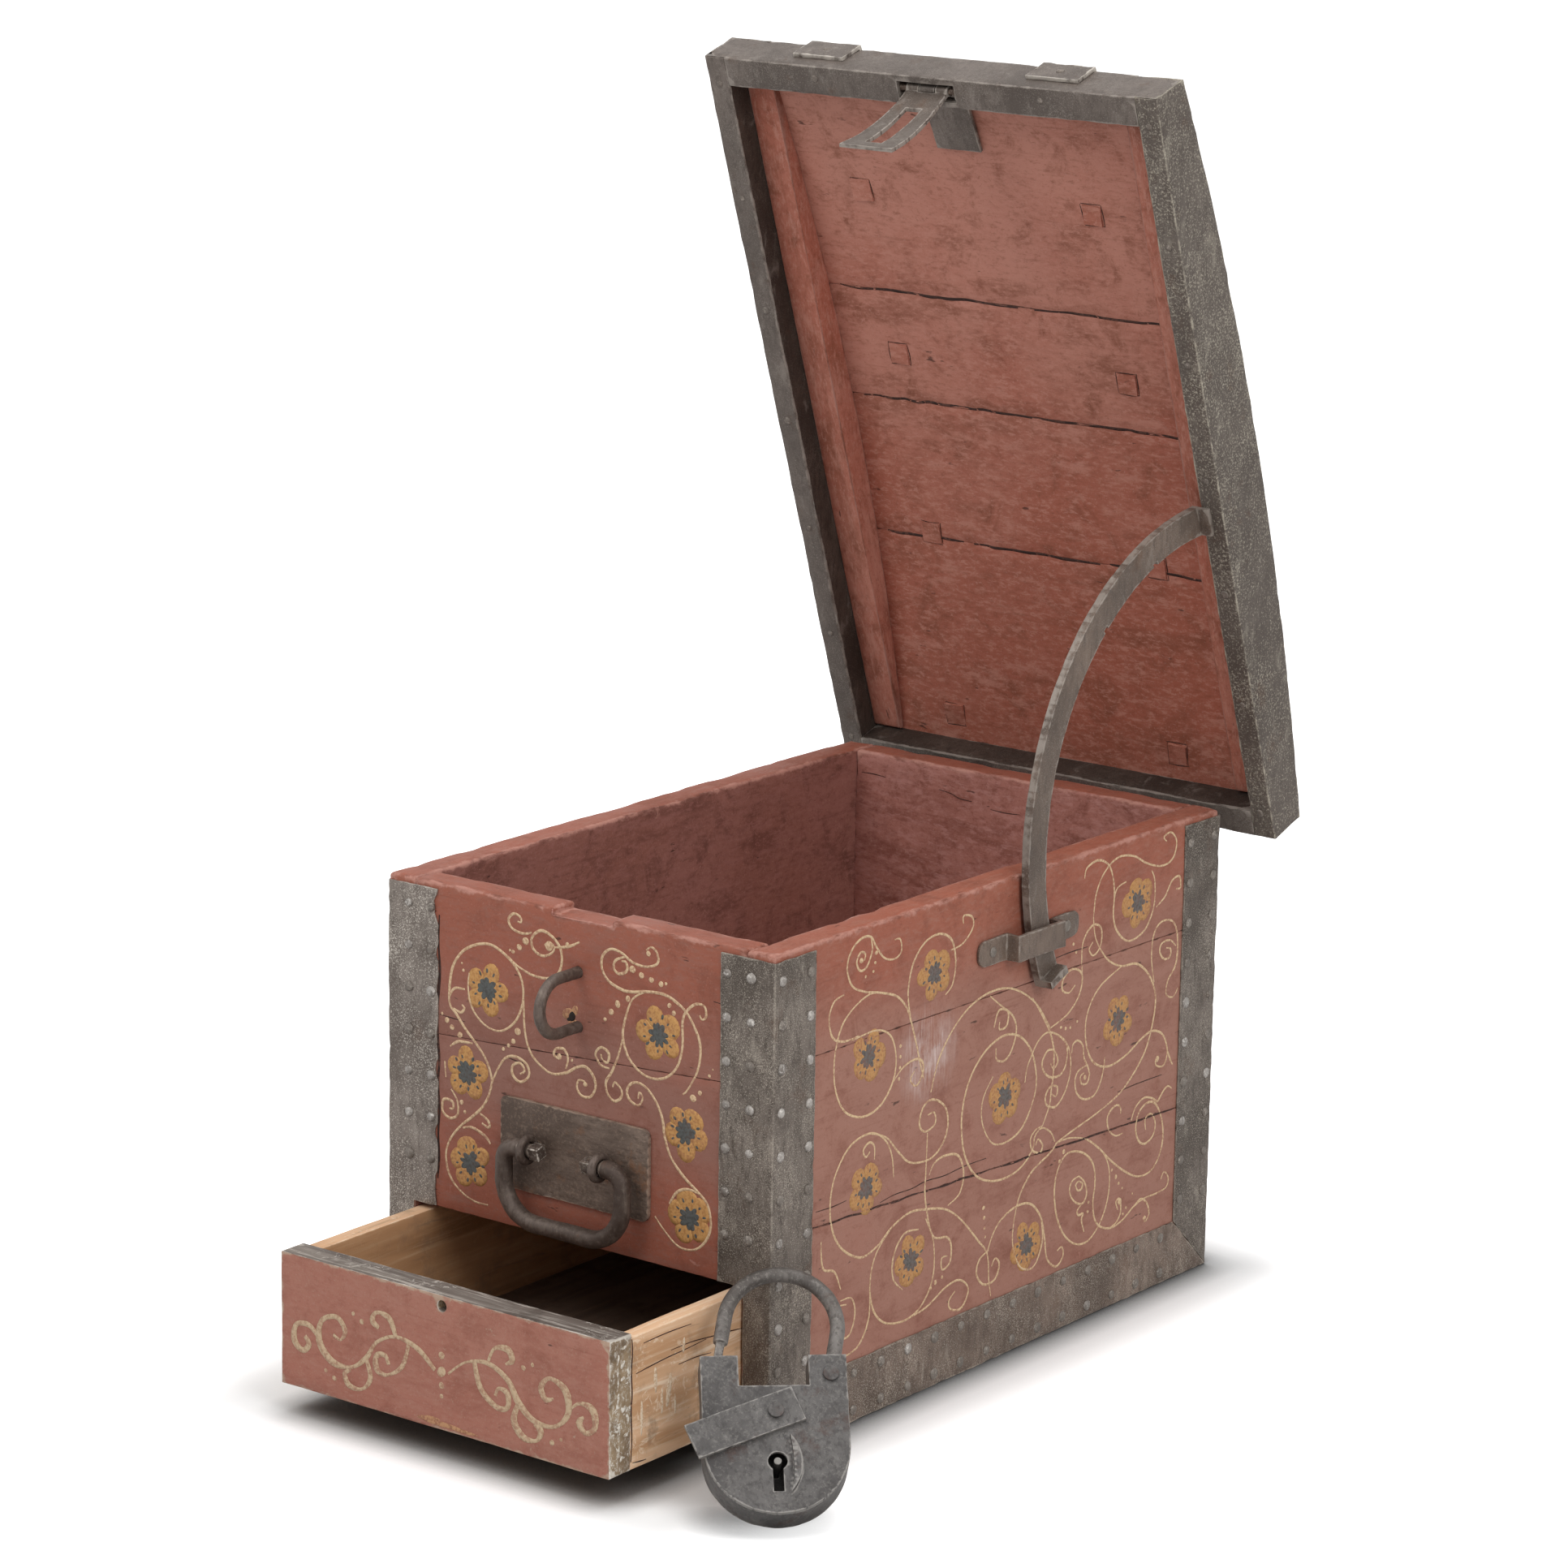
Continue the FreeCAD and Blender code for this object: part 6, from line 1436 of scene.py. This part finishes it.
leftWall = {**sideWall, **wallFace(0, -1.0, 175.0), "cracks": [
    [(-210, 118), (-186, 118.8), (-160, 118), (-141, 118.6)], [(40, 262), (66, 262.6), (90, 262)]]}
leftWall["splits"] = [[(y, jointHeight("left_plank_bottom", y) - off) for y, off in stroke]
                      for stroke in lowSplit]
backWall = {
    **wallFace(1, -1.0, -252.5),
    "cracks": [[(-146, 346), (-134, 346.4), (-122, 345.6)],
               [(-70, 344), (-58, 342.6), (-50, 340), (-38, 339.4)],
               [(-20, 336), (-6, 335.4), (8, 336.2)]]}
flourish = [
    [(6, 64), (22, 76), (42, 80), (60, 72), (70, 58), (84, 48), (102, 48), (114, 60), (112, 76), (98, 82),
     (90, 74), (94, 66), (101, 68)],
    [(30, 78), (36, 60), (50, 50), (60, 52), (60, 62), (52, 64), (49, 58)],
    [(70, 58), (66, 44), (74, 34), (86, 34), (90, 42), (84, 46)],
    [(114, 62), (124, 70), (136, 68), (138, 56), (130, 50), (124, 56), (128, 61)],
    [(42, 80), (48, 92), (60, 94), (64, 87), (58, 83)],
]
drawerSide = {
    **wallFace(0, 1.0, 149.2), "slot": pineSlot, "splitWidth": 0.8,
    "splits": [[(-397.6, 117), (-396.8, 106.3), (-397.6, 92.1), (-396.9, 75.7), (-397.7, 63.3), (-397, 43.3),
                (-397.8, 27)]],
    "cracks": [[(-392.8, 89.4), (-376.6, 90.7), (-357.5, 91.9), (-338.2, 92.4), (-316, 93.6)],
               [(-354.8, 96), (-332.8, 96), (-310.5, 93.9), (-288, 91.9), (-276.1, 90.5)],
               [(-384.9, 109.2), (-368.7, 109.8), (-352.3, 109.8), (-333, 109.1)],
               [(-346.3, 83.4), (-327, 83.5), (-310.2, 82)], [(-396, 26), (-388, 25), (-381.1, 24.5)]],
    "spots": [
        (pineSmear, [
            (-386.5, 56, 1.57, 14.0, 1.5, 0.15), (-371.5, 79, 1.62, 10.0, 2.0, 0.15),
            (-357, 68, 1.4, 13.0, 2.6, 0.15), (-364.5, 62, 1.57, 10.0, 1.5, 0.15),
            (-341, 96, 1.5, 6.0, 1.6, 0.15), (-350, 56, 1.6, 8.0, 1.2, 0.15)]),
        (endChip, [
            (-407.5, 100.3, 0.9, 3.4, 1.7, 0.2), (-402, 93.6, 2.0, 3.0, 1.2, 0.2),
            (-407.3, 89.9, 0.3, 2.6, 1.4, 0.2), (-412, 76.8, 1.4, 4.0, 1.2, 0.2),
            (-406, 67.9, 0.7, 3.0, 1.8, 0.2), (-402, 60.5, 1.9, 3.6, 1.5, 0.2),
            (-410.7, 56.6, 1.2, 2.8, 1.3, 0.2), (-404, 48.9, 0.4, 2.4, 1.2, 0.2),
            (-411, 39, 1.5, 4.2, 1.1, 0.2), (-408.2, 32.5, 1.0, 2.4, 1.2, 0.2),
            (-406.6, 112, 0.2, 3.0, 1.2, 0.2), (-412.3, 105.6, 1.6, 3.2, 1.1, 0.2)])]}
drawerWall = {
    **wallFace(1, -1.0, 421.5), "width": 2.7, "pen": math.radians(25),
    "spots": [(splinter, [(0, 25.4, 0.0, 20.0, 2.0, 0.16), (-12, 27, 0.1, 11.0, 2.2, 0.16),
                          (20, 24.6, 0.0, 14.0, 1.5, 0.16)])],
    "strokes": flourish + [[(-x, z) for x, z in stroke] for stroke in flourish],
    "dots": [(0, 64, 4.2), (0, 76, 3.0), (0, 54, 2.6), (0, 46, 1.8), (74, 84, 2.2), (-74, 84, 2.2),
             (82, 88, 1.7), (-82, 88, 1.7), (100, 36, 2.2), (-100, 36, 2.2), (108, 40, 1.6),
             (-108, 40, 1.6)]}
sidePaints = (creamSide, ochreSide, slateSide)
paintWall("front_brushwork", "chest", "front_plank_top front_plank_bottom", frontWall,
          (creamFront, ochreFront, slateFront))
paintWall("side_brushwork", "chest", "right_plank_top right_plank_middle right_plank_bottom", sideWall,
          sidePaints)
paintWall("left_brushwork", "chest", "left_plank_top left_plank_bottom", leftWall, sidePaints)
paintWall("drawer_brushwork", "drawer", "drawer_front", drawerWall, (creamDrawer, None, None))
paintWall("drawer_side_marks", "drawer", "drawer_side_right drawer_front", drawerSide)
paintWall("back_wall_marks", "chest", "back_plank_top back_plank_bottom", backWall)

lidJoints = {"from": -150.0, "to": 166.0, "step": 13.0, "uneven": (0.6, 1.3), "wander": 0.9, "gap": 0.12,
             "least": 4}
roveLine = {"half": 9.2, "wander": 0.6, "over": 0.7, "width": 0.5, "row": 12.0}
lidPlanks = ["lid_plank_%d" % number for number in (1, 2, 3, 4)]


def underLid(y, z, splits):  # marks on the lid's inner face, placed as with the lid shut
    return {"outward": tuple(lidDown), "face": openPlace(0, y, z).dot(lidDown) / mm,
            "place": lambda a, b: openPlace(a, b, z), "splits": splits}


def lidJointEdge(planks):  # inner edge where a lid plank meets the next, as y and z with the lid shut
    corners = [[shutPlace(vert.co) for vert in frame["nodes"][plank].data.vertices] for plank in planks]
    middles = [sum(corner.y for corner in group) for group in corners]
    way = 1.0 if middles[1] > middles[0] else -1.0
    edge = max(corners[0], key=lambda corner: way * corner.y - corner.z)
    return edge.y, edge.z


def lidJointStrokes(y):
    strokes, stroke, x = [], [], lidJoints["from"]
    while x < lidJoints["to"]:
        stroke.append((x, y + dice.uniform(-1.0, 1.0) * lidJoints["wander"]))
        x += lidJoints["step"] * dice.uniform(*lidJoints["uneven"])
        if len(stroke) > lidJoints["least"] and dice.random() < lidJoints["gap"]:
            strokes.append(stroke)
            stroke = []
    return [line for line in strokes + [stroke] if len(line) > 2]


def roveStrokes(x, y):  # four cut lines round a rove, each a little out of true
    lines = []
    for side in (-1, 1):
        for across in (True, False):
            ends = [(along * (roveLine["half"] + roveLine["over"] * dice.uniform(-1.0, 1.0)),
                     side * roveLine["half"] + dice.uniform(-1.0, 1.0) * roveLine["wander"])
                    for along in (-1, 0, 1)]
            lines.append([(x + a, y + b) if across else (x + b, y + a) for a, b in ends])
    return lines


for index, planks in enumerate(zip(lidPlanks, lidPlanks[1:]), 1):
    y, z = lidJointEdge(planks)
    paintWall("lid_joint_%d" % index, "lid", " ".join(planks), underLid(y, z, lidJointStrokes(y)))
roveRows = {}
for spot in innerPlaces:
    at = shutPlace(spot)
    roveRows.setdefault(round(at.y / roveLine["row"]), []).append(at)
for index, row in enumerate(roveRows.values(), 1):
    cuts = underLid(row[0].y, row[0].z, [line for at in row for line in roveStrokes(at.x, at.y)])
    paintWall("lid_rove_lines_%d" % index, "lid", " ".join(lidPlanks),
              {**cuts, "splitWidth": roveLine["width"]})
print("stage: brushwork")
